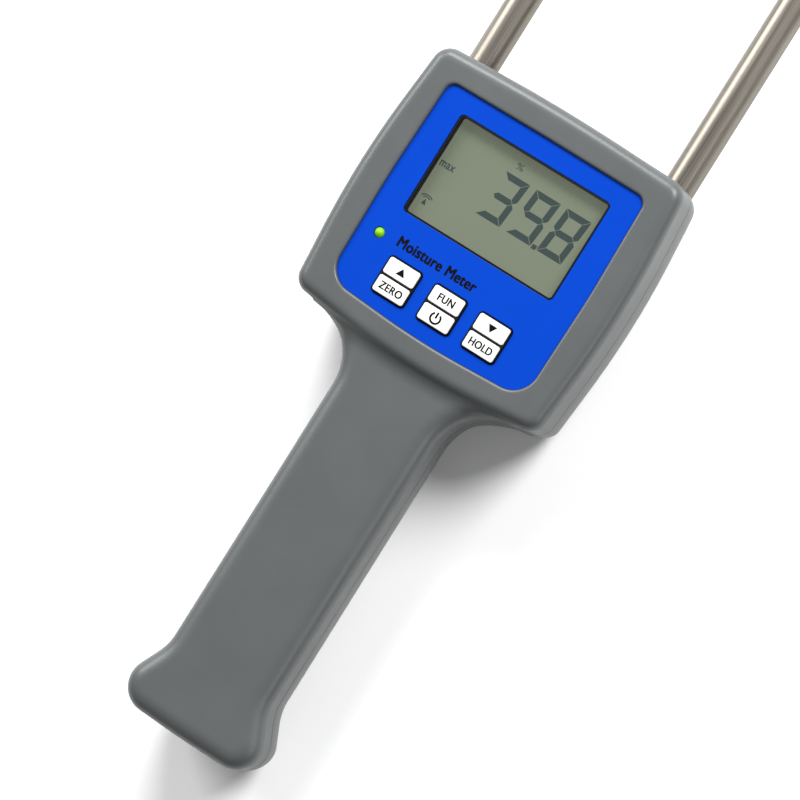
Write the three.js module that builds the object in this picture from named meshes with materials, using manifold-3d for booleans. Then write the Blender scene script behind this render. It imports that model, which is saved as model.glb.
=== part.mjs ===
// Hand-held grain moisture meter: a flat-backed plastic case with a head, a neck, a handle and a
// flared butt, and two long steel probe rods that stand out of the head's top wall.
// Millimetres. +Z is out of the display, +Y towards the probe tips, +X to the display's right.
// The origin is the middle of the head's flat back, on which the meter lies.
import * as THREE from "three";
import { mergeVertices } from "three/addons/utils/BufferGeometryUtils.js";
import Module from "manifold-3d";

const wasm = await Module();
wasm.setup();

// ---- driving dimensions ----
const GAP = 0.3; // between neighbouring pieces
const FIT = 0.1; // between a piece and the pocket that holds it
const WALL = 2.2;

// Half of each plan outline, right side, from the top centre clockwise: [x, y, corner radius].
const HEAD_HALF_WIDTH = 38.3; // to the corner point of the bulged side, 37.5 on the surface
const HEAD_TOP = 35.3;
const HANDLE_HALF_WIDTH = 14.65;
const BUTT_END = -140.9;
const HEAD_UPPER = [
  [0, HEAD_TOP, 500],
  [35.3, 34, 4.6],
  [HEAD_HALF_WIDTH, 0, 220],
  [35.5, -34, 4.2],
];
const HEAD_HALF = [...HEAD_UPPER, [0, -37.9, 200]];
// Neck, handle and butt, with a root that lies inside the head.
const HANDLE_HALF = [
  [0, 6, 200],
  [30, 5, 2],
  [30, -35, 1.5],
  [HANDLE_HALF_WIDTH, -36.7, 14.5],
  [HANDLE_HALF_WIDTH + 0.15, -123.4, 12],
  [22.9, BUTT_END + 0.5, 6.8],
  [0, BUTT_END, 300],
];

const FACE_Z = 31;
const SEAM_Z = 19.5; // underside of the front cover
const REAR_TOP_Z = SEAM_Z - GAP;
const HEAD_EDGE = { across: 3, deep: 3 }; // rounding of the head's front edge
const HANDLE_FRONT_Z = 28.4;
const HANDLE_EDGE = { across: 4.5, deep: 3.5 };
const HEAD_BACK_EDGE = { across: 6, deep: REAR_TOP_Z };
const HANDLE_BACK_Z = 0.4; // the handle's back clears the surface that the head lies on
const HANDLE_BACK_EDGE = { across: 9, deep: REAR_TOP_Z - HANDLE_BACK_Z };

const LABEL_TOP_Z = 30.1;
const LABEL_THICK = 0.6;
const RECESS_Z = LABEL_TOP_Z - LABEL_THICK - FIT;
const HEAD_CEILING_Z = 27.6;
const HANDLE_CEILING_Z = HANDLE_FRONT_Z - WALL;
const LABEL_HALF = [
  [0, 26.9, 300],
  [28.2, 26.7, 2.6],
  [28.9, 0, 200],
  [28.4, -28.3, 6.5],
  [0, -29.9, 200],
];

const WINDOW = { x: 0, y: 8.1, width: 43.4, height: 27.2, corner: 1.3 };
const GASKET_WALL = 0.7;
const LCD_HALF_WIDTH = 23;
const LCD_FRONT = { y: 8.1, height: 29.6, bottom: 26.2, thick: 1.1 };
const LCD_REAR = { y: 8.1, height: 32.4, bottom: 25, thick: 1.1 };
const LCD_FRAME = { y: 8, width: 49, height: 35.2, wall: 1.1 };

const BOARD = { y: 0.25, width: 60, height: 52.5, bottom: 19.6, thick: 1.6 };
const BOARD_TOP_Z = BOARD.bottom + BOARD.thick;

const KEY = { pitch: 13.1, y: -20.75, width: 9.4, height: 9.8, corner: 1.2, top: 30.9 };
const KEY_CLEARANCE = 0.2;
const KEY_FLANGE = { grow: 0.9, bottom: 26.3, top: 27.2 };
const KEY_STEM_Z = 25.6;
const PAD = { inset: 0.4, height: 4.2, proud: 0.25, corner: 0.5 };
const SWITCH = { side: 6, top: 24.8, bore: 1.9, boreBottom: 22.4 };
const PLUNGER = { radius: 1.7, bottom: 23.2, top: 25.5 };

const LED = { x: -23.4, y: -12.9, radius: 1.3, top: 30.9, flange: 1.9 };
const LED_FLANGE_Z = 26.2;
const LED_LEG = { x: 1.1, half: 0.25 };

const ROD = { x: 29, z: 12.4, radius: 4, bore: 3.6, inner: 10, tip: 317.1, cone: 11 };
const ROD_SPIGOT = { radius: 3.5, bore: 2.6, length: 5 };
const BUSH = { outer: 5.6, from: 24, to: 33, clearance: 0.08 };
const ROD_SADDLE = { from: 14, to: 16, halfWidth: 5, bottom: 1 };
const LUG = { outer: 3.6, hole: 1.7, thick: 0.8, tailRoot: 2.5, tail: 7.5, tailWidth: 2 };
const LUG_SCREW = { shank: 1.45, shankLength: 6.5, head: 2.7, headLength: 2.2 };

const CELL = { radius: 5.2, length: 44.5, x: 5.45, z: 13.2, nub: 1.9, nubLength: 0.8 };
const BAY = { top: -39.4, bottom: -128.8 }; // the ends of the two columns of cells
const CONTACT = { thick: 0.5, width: 8.4, height: 9, standoff: 2.2 };
const SPRING = { wire: 0.25, wide: 3.5, narrow: 1.9, turns: 2, offPlate: 0.55, offCell: 0.6 };
const BAY_WALL = { thick: 1.5, halfWidth: 14.5, footHalfWidth: 8, upperFoot: 1, lowerFoot: 3.6 };
const WIRE_NOTCH = { halfWidth: 2.2, depth: 4, length: 8 };

const DOOR = { halfWidth: 11.5, top: -60, height: 8.2 };
const DOOR_GRIP = { ridges: 5, pitch: 2.4, first: -66, width: 12, size: 0.9 };

const CASE_SCREWS = [
  [18, 30],
  [30.3, -29.4],
];
const CASE_BOSS = { radius: 3.2, hole: 1.4, well: 2.6, seat: 8, tip: 24.5, holeTop: 25.3 };
const CASE_SCREW = { shank: 1.25, head: 2.3, headLength: 1.9 };
const BOARD_SCREWS = [
  [27.5, 21.5],
  [26, -21.5],
];
const BOARD_BOSS = { radius: 2.4, hole: 1.15, holeTop: 25.8 };
const BOARD_SCREW = { shank: 1, head: 1.9, headLength: 1.4, tip: 25.2 };

const CHIP = { x: 0, y: 8, body: 10, feet: 12, thick: 1.5, footThick: 0.5 };
const CRYSTAL = { x: -14, y: 8, width: 4.5, height: 10.5, corner: 2.2, thick: 3.5 };
const BUZZER = { x: 14, y: -10, radius: 6, thick: 5.5, vent: 1.2, ventDepth: 2 };
const STRIP = { halfLength: 22, halfWidth: 1, inset: 1.2 };
const TONGUE = { thick: 0.9, depth: 3, rise: 1.6, root: 0.2, rootDrop: 0.5 };

const CURVE_STEP = Math.PI / 8; // the angle that one straight facet of an arc may turn
const ROUND = 20; // facets round a visible cylinder
const SMALL_ROUND = 10; // facets round a small or hidden one
const EDGE_RINGS = 4;
const BACK_RINGS = 5;

// ---- looks ----
const paint = (color, roughness, metalness = 0) =>
  new THREE.MeshStandardMaterial({ color, roughness, metalness });
const CASE_GREY = paint(0x6e7273, 0.5);
const LABEL_BLUE = paint(0x0548ca, 0.45);
const BLACK_RUBBER = paint(0x111214, 0.7);
const KEY_WHITE = paint(0xf8f8f4, 0.4);
const LCD_GREY = paint(0x848c7a, 0.15);
const CLEAR = new THREE.MeshStandardMaterial({
  color: 0xf2f5f4,
  roughness: 0.05,
  transparent: true,
  opacity: 0.3,
});
const LED_GREEN = paint(0x7fd02a, 0.2);
const STEEL = paint(0xc9c4ba, 0.25, 1);
const BRASS = paint(0xc0984a, 0.35, 1);
const BOARD_GREEN = paint(0x1e5a32, 0.5);
const BLACK_PLASTIC = paint(0x1b1c1e, 0.5);
const WHITE_PLASTIC = paint(0xd9d8d2, 0.5);
const CELL_CAN = paint(0x2f6f48, 0.35, 0.4);
const RED_WIRE = paint(0xb01a14, 0.5);
const BLACK_WIRE = paint(0x141414, 0.5);

const group = new THREE.Group();

// ---- solids ----
function toSolid(geometry) {
  const bare = geometry.clone();
  bare.deleteAttribute("normal");
  bare.deleteAttribute("uv");
  const merged = mergeVertices(bare, 1e-4);
  return new wasm.Manifold(
    new wasm.Mesh({
      numProp: 3,
      vertProperties: new Float32Array(merged.attributes.position.array),
      triVerts: new Uint32Array(merged.index.array),
    }),
  );
}

function toGeometry(solid) {
  const mesh = solid.asOriginal().simplify(0.004).getMesh();
  const geometry = new THREE.BufferGeometry();
  geometry.setAttribute("position", new THREE.BufferAttribute(mesh.vertProperties, 3));
  geometry.setIndex(new THREE.BufferAttribute(mesh.triVerts, 1));
  geometry.computeVertexNormals();
  return geometry;
}

const join = (...solids) => solids.reduce((a, b) => a.add(b));
const cut = (solid, ...tools) => tools.reduce((a, b) => a.subtract(b), solid);

function place(name, solid, material) {
  const mesh = new THREE.Mesh(toGeometry(solid), material);
  mesh.name = name;
  group.add(mesh);
}

const moved = (solid, x, y, z) => solid.translate([x, y, z]);

// A box by its lowest and highest corners.
function block([x0, y0, z0], [x1, y1, z1]) {
  const box = toSolid(new THREE.BoxGeometry(x1 - x0, y1 - y0, z1 - z0));
  return moved(box, (x0 + x1) / 2, (y0 + y1) / 2, (z0 + z1) / 2);
}

// A round bar standing on z0, up to z1.
function post(x, y, z0, z1, radius, facets = SMALL_ROUND) {
  const bar = new THREE.CylinderGeometry(radius, radius, z1 - z0, facets).rotateX(Math.PI / 2);
  return moved(toSolid(bar), x, y, (z0 + z1) / 2);
}

// A profile of [radius, y] pairs turned about the Y direction through (x, z).
function turnedAlongY(profile, x, z, facets = ROUND) {
  const points = profile.map(([radius, y]) => new THREE.Vector2(radius, y));
  return moved(toSolid(new THREE.LatheGeometry(points, facets)), x, 0, z);
}

// A closed profile of [radius, z] pairs turned about the Z direction through (x, y).
function turnedAlongZ(profile, x, y, facets = SMALL_ROUND) {
  const points = profile.map(([radius, z]) => new THREE.Vector2(radius, z));
  const lathe = new THREE.LatheGeometry(points, facets).rotateX(Math.PI / 2);
  return moved(toSolid(lathe), x, y, 0);
}

// ---- outlines ----
// A half outline with its mirror image: a whole loop of corners, clockwise from the top.
function wholeLoop(half) {
  const mirrored = half
    .filter(([x]) => x > 0)
    .map(([x, y, radius]) => [-x, y, radius])
    .reverse();
  return [...half, ...mirrored];
}

function turnAt(before, corner, after) {
  const into = new THREE.Vector2(corner[0] - before[0], corner[1] - before[1]).normalize();
  const out = new THREE.Vector2(after[0] - corner[0], after[1] - corner[1]).normalize();
  const turn = Math.atan2(into.cross(out), into.dot(out));
  return { into, out, turn };
}

// The loop moved inwards by a distance. A rounded corner keeps at least a small radius.
function insetLoop(loop, distance) {
  const least = 0.8;
  return loop.map((corner, i) => {
    const before = loop[(i + loop.length - 1) % loop.length];
    const after = loop[(i + 1) % loop.length];
    const { into, out, turn } = turnAt(before, corner, after);
    const reach = distance / Math.cos(turn / 2);
    const inward = new THREE.Vector2(into.y + out.y, -into.x - out.x).normalize();
    const radius = turn < 0 ? Math.max(corner[2] - distance, least) : corner[2] + distance;
    return [corner[0] + inward.x * reach, corner[1] + inward.y * reach, radius];
  });
}

// The points of a loop with each corner rounded. Where two roundings would meet, both shrink.
function loopPoints(loop, counts) {
  const count = loop.length;
  const corners = loop.map((corner, i) => {
    const bend = turnAt(loop[(i + count - 1) % count], corner, loop[(i + 1) % count]);
    const tangent = corner[2] * Math.tan(Math.abs(bend.turn) / 2);
    return { ...bend, corner, tangent };
  });
  corners.forEach((here, i) => {
    const next = corners[(i + 1) % count];
    const dx = next.corner[0] - here.corner[0];
    const dy = next.corner[1] - here.corner[1];
    here.room = (Math.hypot(dx, dy) * 0.98) / (here.tangent + next.tangent);
  });
  return corners.flatMap((here, i) => {
    const room = Math.min(1, here.room, corners[(i + count - 1) % count].room);
    const tangent = here.tangent * room;
    const radius = tangent / Math.tan(Math.abs(here.turn) / 2);
    const side = Math.sign(here.turn);
    const centre = new THREE.Vector2(here.corner[0], here.corner[1])
      .addScaledVector(here.into, -tangent)
      .add(new THREE.Vector2(-here.into.y, here.into.x).multiplyScalar(side * radius));
    const start = Math.atan2(-side * here.into.x, side * here.into.y);
    return Array.from({ length: counts[i] + 1 }, (_, k) => {
      const angle = start + (here.turn * k) / counts[i];
      return [centre.x + radius * Math.cos(angle), centre.y + radius * Math.sin(angle)];
    });
  });
}

// How many facets each corner of a loop takes.
function facetCounts(loop) {
  const gentle = 3;
  return loop.map((corner, i) => {
    const before = loop[(i + loop.length - 1) % loop.length];
    const { turn } = turnAt(before, corner, loop[(i + 1) % loop.length]);
    return corner[2] > 100 ? gentle : Math.ceil(Math.abs(turn) / CURVE_STEP);
  });
}

// A solid through a stack of [inset, z] levels of one loop, lowest level first.
function stackedSolid(half, levels) {
  const loop = wholeLoop(half);
  const counts = facetCounts(loop);
  const rings = levels.map(([inset, z]) => {
    const points = loopPoints(insetLoop(loop, inset), counts);
    return points.reverse().map(([x, y]) => new THREE.Vector3(x, y, z));
  });
  const size = rings[0].length;
  const index = [];
  for (let level = 0; level + 1 < rings.length; level++) {
    for (let i = 0; i < size; i++) {
      const a = level * size + i;
      const b = level * size + ((i + 1) % size);
      index.push(a, b, b + size, a, b + size, a + size);
    }
  }
  const last = (rings.length - 1) * size;
  const flat = (ring) => ring.map((p) => new THREE.Vector2(p.x, p.y));
  for (const [a, b, c] of THREE.ShapeUtils.triangulateShape(flat(rings[0]), [])) {
    index.push(a, c, b);
  }
  for (const [a, b, c] of THREE.ShapeUtils.triangulateShape(flat(rings.at(-1)), [])) {
    index.push(last + a, last + b, last + c);
  }
  const geometry = new THREE.BufferGeometry().setFromPoints(rings.flat());
  geometry.setIndex(index);
  return toSolid(geometry);
}

// Levels that stand straight up from z0 and then round over to z1.
function frontLevels(z0, z1, edge) {
  const levels = [[0, z0]];
  for (let k = 0; k <= EDGE_RINGS; k++) {
    const angle = (k / EDGE_RINGS) * (Math.PI / 2);
    levels.push([edge.across * (1 - Math.cos(angle)), z1 - edge.deep * (1 - Math.sin(angle))]);
  }
  return levels;
}

// Levels that round out from the back at z1 - deep up to the full outline at z1.
function backLevels(z1, edge, inset = 0) {
  const levels = [];
  for (let k = BACK_RINGS; k >= 0; k--) {
    const angle = (k / BACK_RINGS) * (Math.PI / 2);
    levels.push([inset + edge.across * (1 - Math.cos(angle)), z1 - edge.deep * Math.sin(angle)]);
  }
  return levels;
}

const straightStack = (half, inset, z0, z1) => stackedSolid(half, [[inset, z0], [inset, z1]]);

// The whole case's plan, moved inwards by an inset, as a straight-sided solid.
const caseStack = (inset, z0, z1) =>
  join(straightStack(HEAD_HALF, inset, z0, z1), straightStack(HANDLE_HALF, inset, z0, z1));

// A rectangle with rounded corners as a half outline.
const rectangleHalf = (width, height, y, corner) => [
  [width / 2, y + height / 2, corner],
  [width / 2, y - height / 2, corner],
];

function roundedBlock(x, y, width, height, corner, z0, z1) {
  return moved(straightStack(rectangleHalf(width, height, y, corner), 0, z0, z1), x, 0, 0);
}

const mirroredPlaces = (places) => places.flatMap(([x, y]) => [[-x, y], [x, y]]);
const placeName = ([x, y]) => `${y > 0 ? "upper" : "lower"}_${x < 0 ? "left" : "right"}`;
const keyX = (column) => (column - 1) * KEY.pitch;

// ---- case ----
function frontCover() {
  const head = stackedSolid(HEAD_HALF, frontLevels(SEAM_Z, FACE_Z, HEAD_EDGE));
  const body = stackedSolid(HANDLE_HALF, frontLevels(SEAM_Z, HANDLE_FRONT_Z, HANDLE_EDGE));
  const below = SEAM_Z - 1;
  const hollow = join(
    straightStack(HEAD_HALF, WALL, below, HEAD_CEILING_Z),
    straightStack(HANDLE_HALF, WALL, below, HANDLE_CEILING_Z),
  );
  const shell = cut(head.add(body), hollow);
  const bosses = mirroredPlaces(CASE_SCREWS).map(([x, y]) =>
    post(x, y, SEAM_Z, HEAD_CEILING_Z + 1, CASE_BOSS.radius),
  );
  const boardBosses = mirroredPlaces(BOARD_SCREWS).map(([x, y]) =>
    post(x, y, BOARD_TOP_Z + FIT, HEAD_CEILING_Z + 1, BOARD_BOSS.radius),
  );
  const holes = [
    ...mirroredPlaces(CASE_SCREWS).map(([x, y]) =>
      post(x, y, below, CASE_BOSS.holeTop, CASE_BOSS.hole),
    ),
    ...mirroredPlaces(BOARD_SCREWS).map(([x, y]) =>
      post(x, y, below, BOARD_BOSS.holeTop, BOARD_BOSS.hole),
    ),
  ];
  return cut(join(shell, ...bosses, ...boardBosses), ...holes, labelRecess(), ...faceOpenings());
}

const labelRecess = () => straightStack(LABEL_HALF, -FIT, RECESS_Z, FACE_Z + 1);

// The display, lamp and key openings, cut through both the cover and the label.
function faceOpenings() {
  const z0 = HEAD_CEILING_Z - 2;
  const z1 = FACE_Z + 1;
  const { x, y, width, height, corner } = WINDOW;
  const display = roundedBlock(x, y, width, height, corner, z0, z1);
  const lamp = post(LED.x, LED.y, z0, z1, LED.radius + FIT, ROUND);
  const keys = [0, 1, 2].map((column) =>
    roundedBlock(
      keyX(column),
      KEY.y,
      KEY.width + 2 * KEY_CLEARANCE,
      KEY.height + 2 * KEY_CLEARANCE,
      KEY.corner,
      z0,
      z1,
    ),
  );
  return [display, lamp, ...keys];
}

function caseOuterRear() {
  return join(
    stackedSolid(HEAD_HALF, backLevels(REAR_TOP_Z, HEAD_BACK_EDGE)),
    stackedSolid(HANDLE_HALF, backLevels(REAR_TOP_Z, HANDLE_BACK_EDGE)),
  );
}

function caseInnerRear() {
  const above = REAR_TOP_Z + 1;
  const head = { across: HEAD_BACK_EDGE.across, deep: HEAD_BACK_EDGE.deep - WALL };
  const body = { across: HANDLE_BACK_EDGE.across - 1.5, deep: HANDLE_BACK_EDGE.deep - WALL };
  return join(
    stackedSolid(HEAD_HALF, [...backLevels(REAR_TOP_Z, head, WALL), [WALL, above]]),
    stackedSolid(HANDLE_HALF, [...backLevels(REAR_TOP_Z, body, WALL), [WALL, above]]),
  );
}

// The part of the back that the battery door fills, grown by a clearance.
function doorSpace(clearance) {
  return block(
    [-DOOR.halfWidth - clearance, BUTT_END - 5, -1],
    [DOOR.halfWidth + clearance, DOOR.top + clearance, DOOR.height + clearance],
  );
}

// A rib round the inside of the seam, which keeps the two covers in line.
function seamTongue() {
  const z0 = REAR_TOP_Z - TONGUE.depth;
  const z1 = SEAM_Z + TONGUE.rise;
  const outer = WALL + GAP;
  const ring = cut(
    join(
      caseStack(outer, z0, z1),
      caseStack(WALL - TONGUE.root, z0, REAR_TOP_Z - TONGUE.rootDrop),
    ),
    caseStack(outer + TONGUE.thick, z0 - 1, z1 + 1),
  );
  const clearOfBosses = mirroredPlaces(CASE_SCREWS).map(([x, y]) =>
    post(x, y, z0 - 1, z1 + 1, CASE_BOSS.radius + GAP),
  );
  return cut(ring, ...clearOfBosses);
}

// A round hole along Y through the head's wall, about one rod's axis.
const rodHole = (side, radius, y0, y1) =>
  turnedAlongY([[0, y0], [radius, y0], [radius, y1], [0, y1]], side * ROD.x, ROD.z);

function rodSaddle(side) {
  const { from, to, halfWidth, bottom } = ROD_SADDLE;
  const x = side * ROD.x;
  const wall = block([x - halfWidth, from, bottom], [x + halfWidth, to, ROD.z]);
  return wall.subtract(rodHole(side, ROD.radius + GAP, from - 1, to + 1));
}

function rearCover(outer, inner) {
  const bosses = mirroredPlaces(CASE_SCREWS).map(([x, y]) =>
    post(x, y, 0, REAR_TOP_Z, CASE_BOSS.radius).intersect(outer),
  );
  const saddles = [-1, 1].map((side) => rodSaddle(side).intersect(outer));
  const reach = CONTACT.standoff + CONTACT.thick + GAP;
  const sheets = [
    baySheet(BAY.top + reach, BAY_WALL.upperFoot),
    baySheet(BAY.bottom - reach - BAY_WALL.thick, BAY_WALL.lowerFoot),
  ].map((sheet) => sheet.intersect(outer));
  const wells = mirroredPlaces(CASE_SCREWS).flatMap(([x, y]) => [
    post(x, y, -1, CASE_BOSS.seat, CASE_BOSS.well),
    post(x, y, 0, REAR_TOP_Z + 1, CASE_BOSS.hole),
  ]);
  const bushHoles = [-1, 1].map((side) =>
    rodHole(side, BUSH.outer + FIT, BUSH.from, HEAD_TOP + 5),
  );
  return cut(
    join(cut(outer, inner), ...bosses, ...saddles, ...sheets, seamTongue()),
    ...wells,
    ...bushHoles,
    doorSpace(GAP),
    wireNotch(),
  );
}

// An end wall of the battery bay: wide above the door, narrow where the door passes below it.
function baySheet(y, floor) {
  const { thick, halfWidth, footHalfWidth } = BAY_WALL;
  return join(
    block([-halfWidth, y, DOOR.height + 0.6], [halfWidth, y + thick, REAR_TOP_Z - 1]),
    block([-footHalfWidth, y, floor], [footHalfWidth, y + thick, DOOR.height + 1]),
  );
}

// The gap in the bay's upper end wall through which the battery leads pass.
function wireNotch() {
  const { halfWidth, depth, length } = WIRE_NOTCH;
  return block(
    [-halfWidth, BAY.top, REAR_TOP_Z - depth],
    [halfWidth, BAY.top + length, REAR_TOP_Z + depth],
  );
}

// The door is the piece of the back between the handle's flanks, with the butt's end wall below it.
function batteryDoor(outer, inner) {
  const skin = cut(outer, inner).intersect(doorSpace(0));
  const ridges = Array.from({ length: DOOR_GRIP.ridges }, (_, k) => {
    const y = DOOR_GRIP.first - k * DOOR_GRIP.pitch;
    return block(
      [-DOOR_GRIP.width / 2, y - DOOR_GRIP.size / 2, -1],
      [DOOR_GRIP.width / 2, y + DOOR_GRIP.size / 2, HANDLE_BACK_Z + DOOR_GRIP.size / 2],
    );
  });
  return cut(skin, ...ridges);
}

// ---- face ----
function faceLabel() {
  const sheet = straightStack(LABEL_HALF, 0, LABEL_TOP_Z - LABEL_THICK, LABEL_TOP_Z);
  return cut(sheet, ...faceOpenings());
}

function windowGasket() {
  const { x, y, width, height, corner } = WINDOW;
  const z0 = HEAD_CEILING_Z - FIT;
  const z1 = LABEL_TOP_Z - FIT;
  const shrink = 2 * GASKET_WALL + 2 * FIT;
  const outer = roundedBlock(x, y, width - 2 * FIT, height - 2 * FIT, corner, z0, z1);
  const inner = roundedBlock(x, y, width - shrink, height - shrink, corner / 2, z0 - 1, z1 + 1);
  return outer.subtract(inner);
}

function displayWindow() {
  const { x, y, width, height, corner } = WINDOW;
  const shrink = 2 * GASKET_WALL + 4 * FIT;
  const top = LABEL_TOP_Z - 2 * FIT;
  return roundedBlock(x, y, width - shrink, height - shrink, corner / 2, top - 1, top);
}

function lcdGlass({ y, height, bottom, thick }) {
  return block(
    [-LCD_HALF_WIDTH, y - height / 2, bottom],
    [LCD_HALF_WIDTH, y + height / 2, bottom + thick],
  );
}

function lcdFrame() {
  const { y, width, height, wall } = LCD_FRAME;
  const z0 = BOARD_TOP_Z + FIT;
  const z1 = HEAD_CEILING_Z - GAP;
  const outer = roundedBlock(0, y, width, height, 0.6, z0, z1);
  const inner = roundedBlock(0, y, width - 2 * wall, height - 2 * wall, 0.4, z0 - 1, z1 + 1);
  return outer.subtract(inner);
}

function elastomerStrip(side) {
  const { halfLength, halfWidth, inset } = STRIP;
  const y = LCD_REAR.y + side * (LCD_REAR.height / 2 - inset);
  return block(
    [-halfLength, y - halfWidth, BOARD_TOP_Z + FIT],
    [halfLength, y + halfWidth, LCD_REAR.bottom - FIT],
  );
}

function statusLed() {
  const { radius, flange, top, x, y } = LED;
  const shoulder = LED_FLANGE_Z + 1;
  const profile = [[0, LED_FLANGE_Z], [flange, LED_FLANGE_Z], [flange, shoulder], [radius, shoulder]];
  const rings = 5;
  for (let k = 0; k < rings; k++) {
    const angle = (k / rings) * (Math.PI / 2);
    profile.push([radius * Math.cos(angle), top - radius + radius * Math.sin(angle)]);
  }
  profile.push([0, top]);
  const legs = [-1, 1].map((side) => {
    const legX = x + side * LED_LEG.x;
    const { half } = LED_LEG;
    return block(
      [legX - half, y - half, BOARD_TOP_Z + FIT],
      [legX + half, y + half, LED_FLANGE_Z + 0.5],
    );
  });
  return join(turnedAlongZ(profile, x, y), ...legs);
}

// A key: one black cap with an upper and a lower pad, a flange under the cover and a stem.
function key(column) {
  const x = keyX(column);
  const { y, width, height, corner, top } = KEY;
  const capTop = top - PAD.proud;
  const cap = roundedBlock(x, y, width, height, corner, KEY_FLANGE.bottom, capTop);
  const flange = roundedBlock(
    x,
    y,
    width + 2 * KEY_FLANGE.grow,
    height + 2 * KEY_FLANGE.grow,
    corner,
    KEY_FLANGE.bottom,
    KEY_FLANGE.top,
  );
  const offset = (height - 2 * PAD.inset - PAD.height) / 2;
  const pads = [-1, 1].map((side) =>
    roundedBlock(
      x,
      y + side * offset,
      width - 2 * PAD.inset,
      PAD.height,
      PAD.corner,
      capTop - 0.5,
      top,
    ),
  );
  const stem = post(x, y, KEY_STEM_Z, KEY_FLANGE.bottom + 0.5, PLUNGER.radius);
  return join(cap, flange, stem, ...pads);
}

const switchPlunger = (column) =>
  post(keyX(column), KEY.y, PLUNGER.bottom, PLUNGER.top, PLUNGER.radius);

function switchBody(column) {
  const x = keyX(column);
  const half = SWITCH.side / 2;
  const bottom = BOARD_TOP_Z + FIT;
  const box = block([x - half, KEY.y - half, bottom], [x + half, KEY.y + half, SWITCH.top]);
  return box.subtract(post(x, KEY.y, SWITCH.boreBottom, SWITCH.top + 1, SWITCH.bore));
}

// ---- electronics ----
function mainBoard() {
  const { y, width, height, bottom, thick } = BOARD;
  const sheet = roundedBlock(0, y, width, height, 1.5, bottom, bottom + thick);
  const holes = mirroredPlaces(BOARD_SCREWS).map(([hx, hy]) =>
    post(hx, hy, bottom - 1, bottom + thick + 1, BOARD_BOSS.hole),
  );
  return cut(sheet, ...holes);
}

const UNDER_BOARD_Z = BOARD.bottom - FIT;

// A block hanging under the board, centred on (x, y).
const underBoard = (x, y, halfX, halfY, drop, thick) =>
  block(
    [x - halfX, y - halfY, UNDER_BOARD_Z - drop - thick],
    [x + halfX, y + halfY, UNDER_BOARD_Z - drop],
  );

function controllerChip() {
  const { x, y, body, feet, thick, footThick } = CHIP;
  const legs = underBoard(x, y, feet / 2, body / 2 - 1, 0, footThick);
  return underBoard(x, y, body / 2, body / 2, FIT, thick - FIT).add(legs);
}

function quartzCrystal() {
  const { x, y, width, height, corner, thick } = CRYSTAL;
  return roundedBlock(x, y, width, height, corner, UNDER_BOARD_Z - thick, UNDER_BOARD_Z);
}

function buzzer() {
  const { x, y, radius, thick, vent, ventDepth } = BUZZER;
  const z0 = UNDER_BOARD_Z - thick;
  const drum = post(x, y, z0, UNDER_BOARD_Z, radius, ROUND);
  return drum.subtract(post(x, y, z0 - 1, z0 + ventDepth, vent));
}

// A round wire through a list of points.
function wire(points, radius) {
  const path = new THREE.CatmullRomCurve3(points.map((p) => new THREE.Vector3(...p)));
  const section = new THREE.Shape();
  const sides = 6;
  for (let k = 0; k < sides; k++) {
    const angle = (k / sides) * Math.PI * 2;
    const x = radius * Math.cos(angle);
    const y = radius * Math.sin(angle);
    if (k === 0) section.moveTo(x, y);
    else section.lineTo(x, y);
  }
  const steps = 4 * (points.length - 1);
  return toSolid(
    new THREE.ExtrudeGeometry(section, { steps, extrudePath: path, bevelEnabled: false }),
  );
}

// ---- probes ----
function probeRod(side) {
  const end = ROD.tip - ROD.cone;
  const profile = [
    [ROD.bore, ROD.inner],
    [ROD.radius, ROD.inner],
    [ROD.radius, end],
    [ROD.bore, end],
    [ROD.bore, ROD.inner],
  ];
  return turnedAlongY(profile, side * ROD.x, ROD.z);
}

function probeTip(side) {
  const base = ROD.tip - ROD.cone + FIT;
  const blunt = 0.7;
  const bore = ROD_SPIGOT.bore;
  const profile = [
    [0, base + 3],
    [bore, base],
    [bore, base - ROD_SPIGOT.length],
    [ROD_SPIGOT.radius, base - ROD_SPIGOT.length],
    [ROD_SPIGOT.radius, base],
    [ROD.radius, base],
    [ROD.radius, base + 1],
    [blunt, ROD.tip - blunt],
    [blunt * 0.6, ROD.tip - blunt * 0.25],
    [0, ROD.tip],
  ];
  return turnedAlongY(profile, side * ROD.x, ROD.z);
}

function probeBush(side) {
  const bore = ROD.radius + BUSH.clearance;
  const profile = [
    [bore, BUSH.from],
    [BUSH.outer, BUSH.from],
    [BUSH.outer, BUSH.to],
    [bore, BUSH.to],
    [bore, BUSH.from],
  ];
  return turnedAlongY(profile, side * ROD.x, ROD.z);
}

function rodEndPlug(side) {
  const hole = LUG_SCREW.shank + FIT;
  const y0 = ROD.inner;
  const y1 = ROD.inner + ROD_SPIGOT.length;
  const profile = [
    [hole, y0],
    [ROD_SPIGOT.radius, y0],
    [ROD_SPIGOT.radius, y1],
    [hole, y1],
    [hole, y0],
  ];
  return turnedAlongY(profile, side * ROD.x, ROD.z, SMALL_ROUND);
}

function solderLug(side) {
  const y1 = ROD.inner - FIT;
  const y0 = y1 - LUG.thick;
  const disc = [[0, y0], [LUG.outer, y0], [LUG.outer, y1], [0, y1]];
  const ring = turnedAlongY(disc, side * ROD.x, ROD.z, SMALL_ROUND);
  const near = side * (ROD.x - LUG.tailRoot);
  const far = side * (ROD.x - LUG.tail);
  const tail = block(
    [Math.min(near, far), y0, ROD.z - LUG.tailWidth / 2],
    [Math.max(near, far), y1, ROD.z + LUG.tailWidth / 2],
  );
  const hole = turnedAlongY(
    [[0, y0 - 1], [LUG.hole, y0 - 1], [LUG.hole, y1 + 1], [0, y1 + 1]],
    side * ROD.x,
    ROD.z,
    SMALL_ROUND,
  );
  return cut(ring.add(tail), hole);
}

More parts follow.
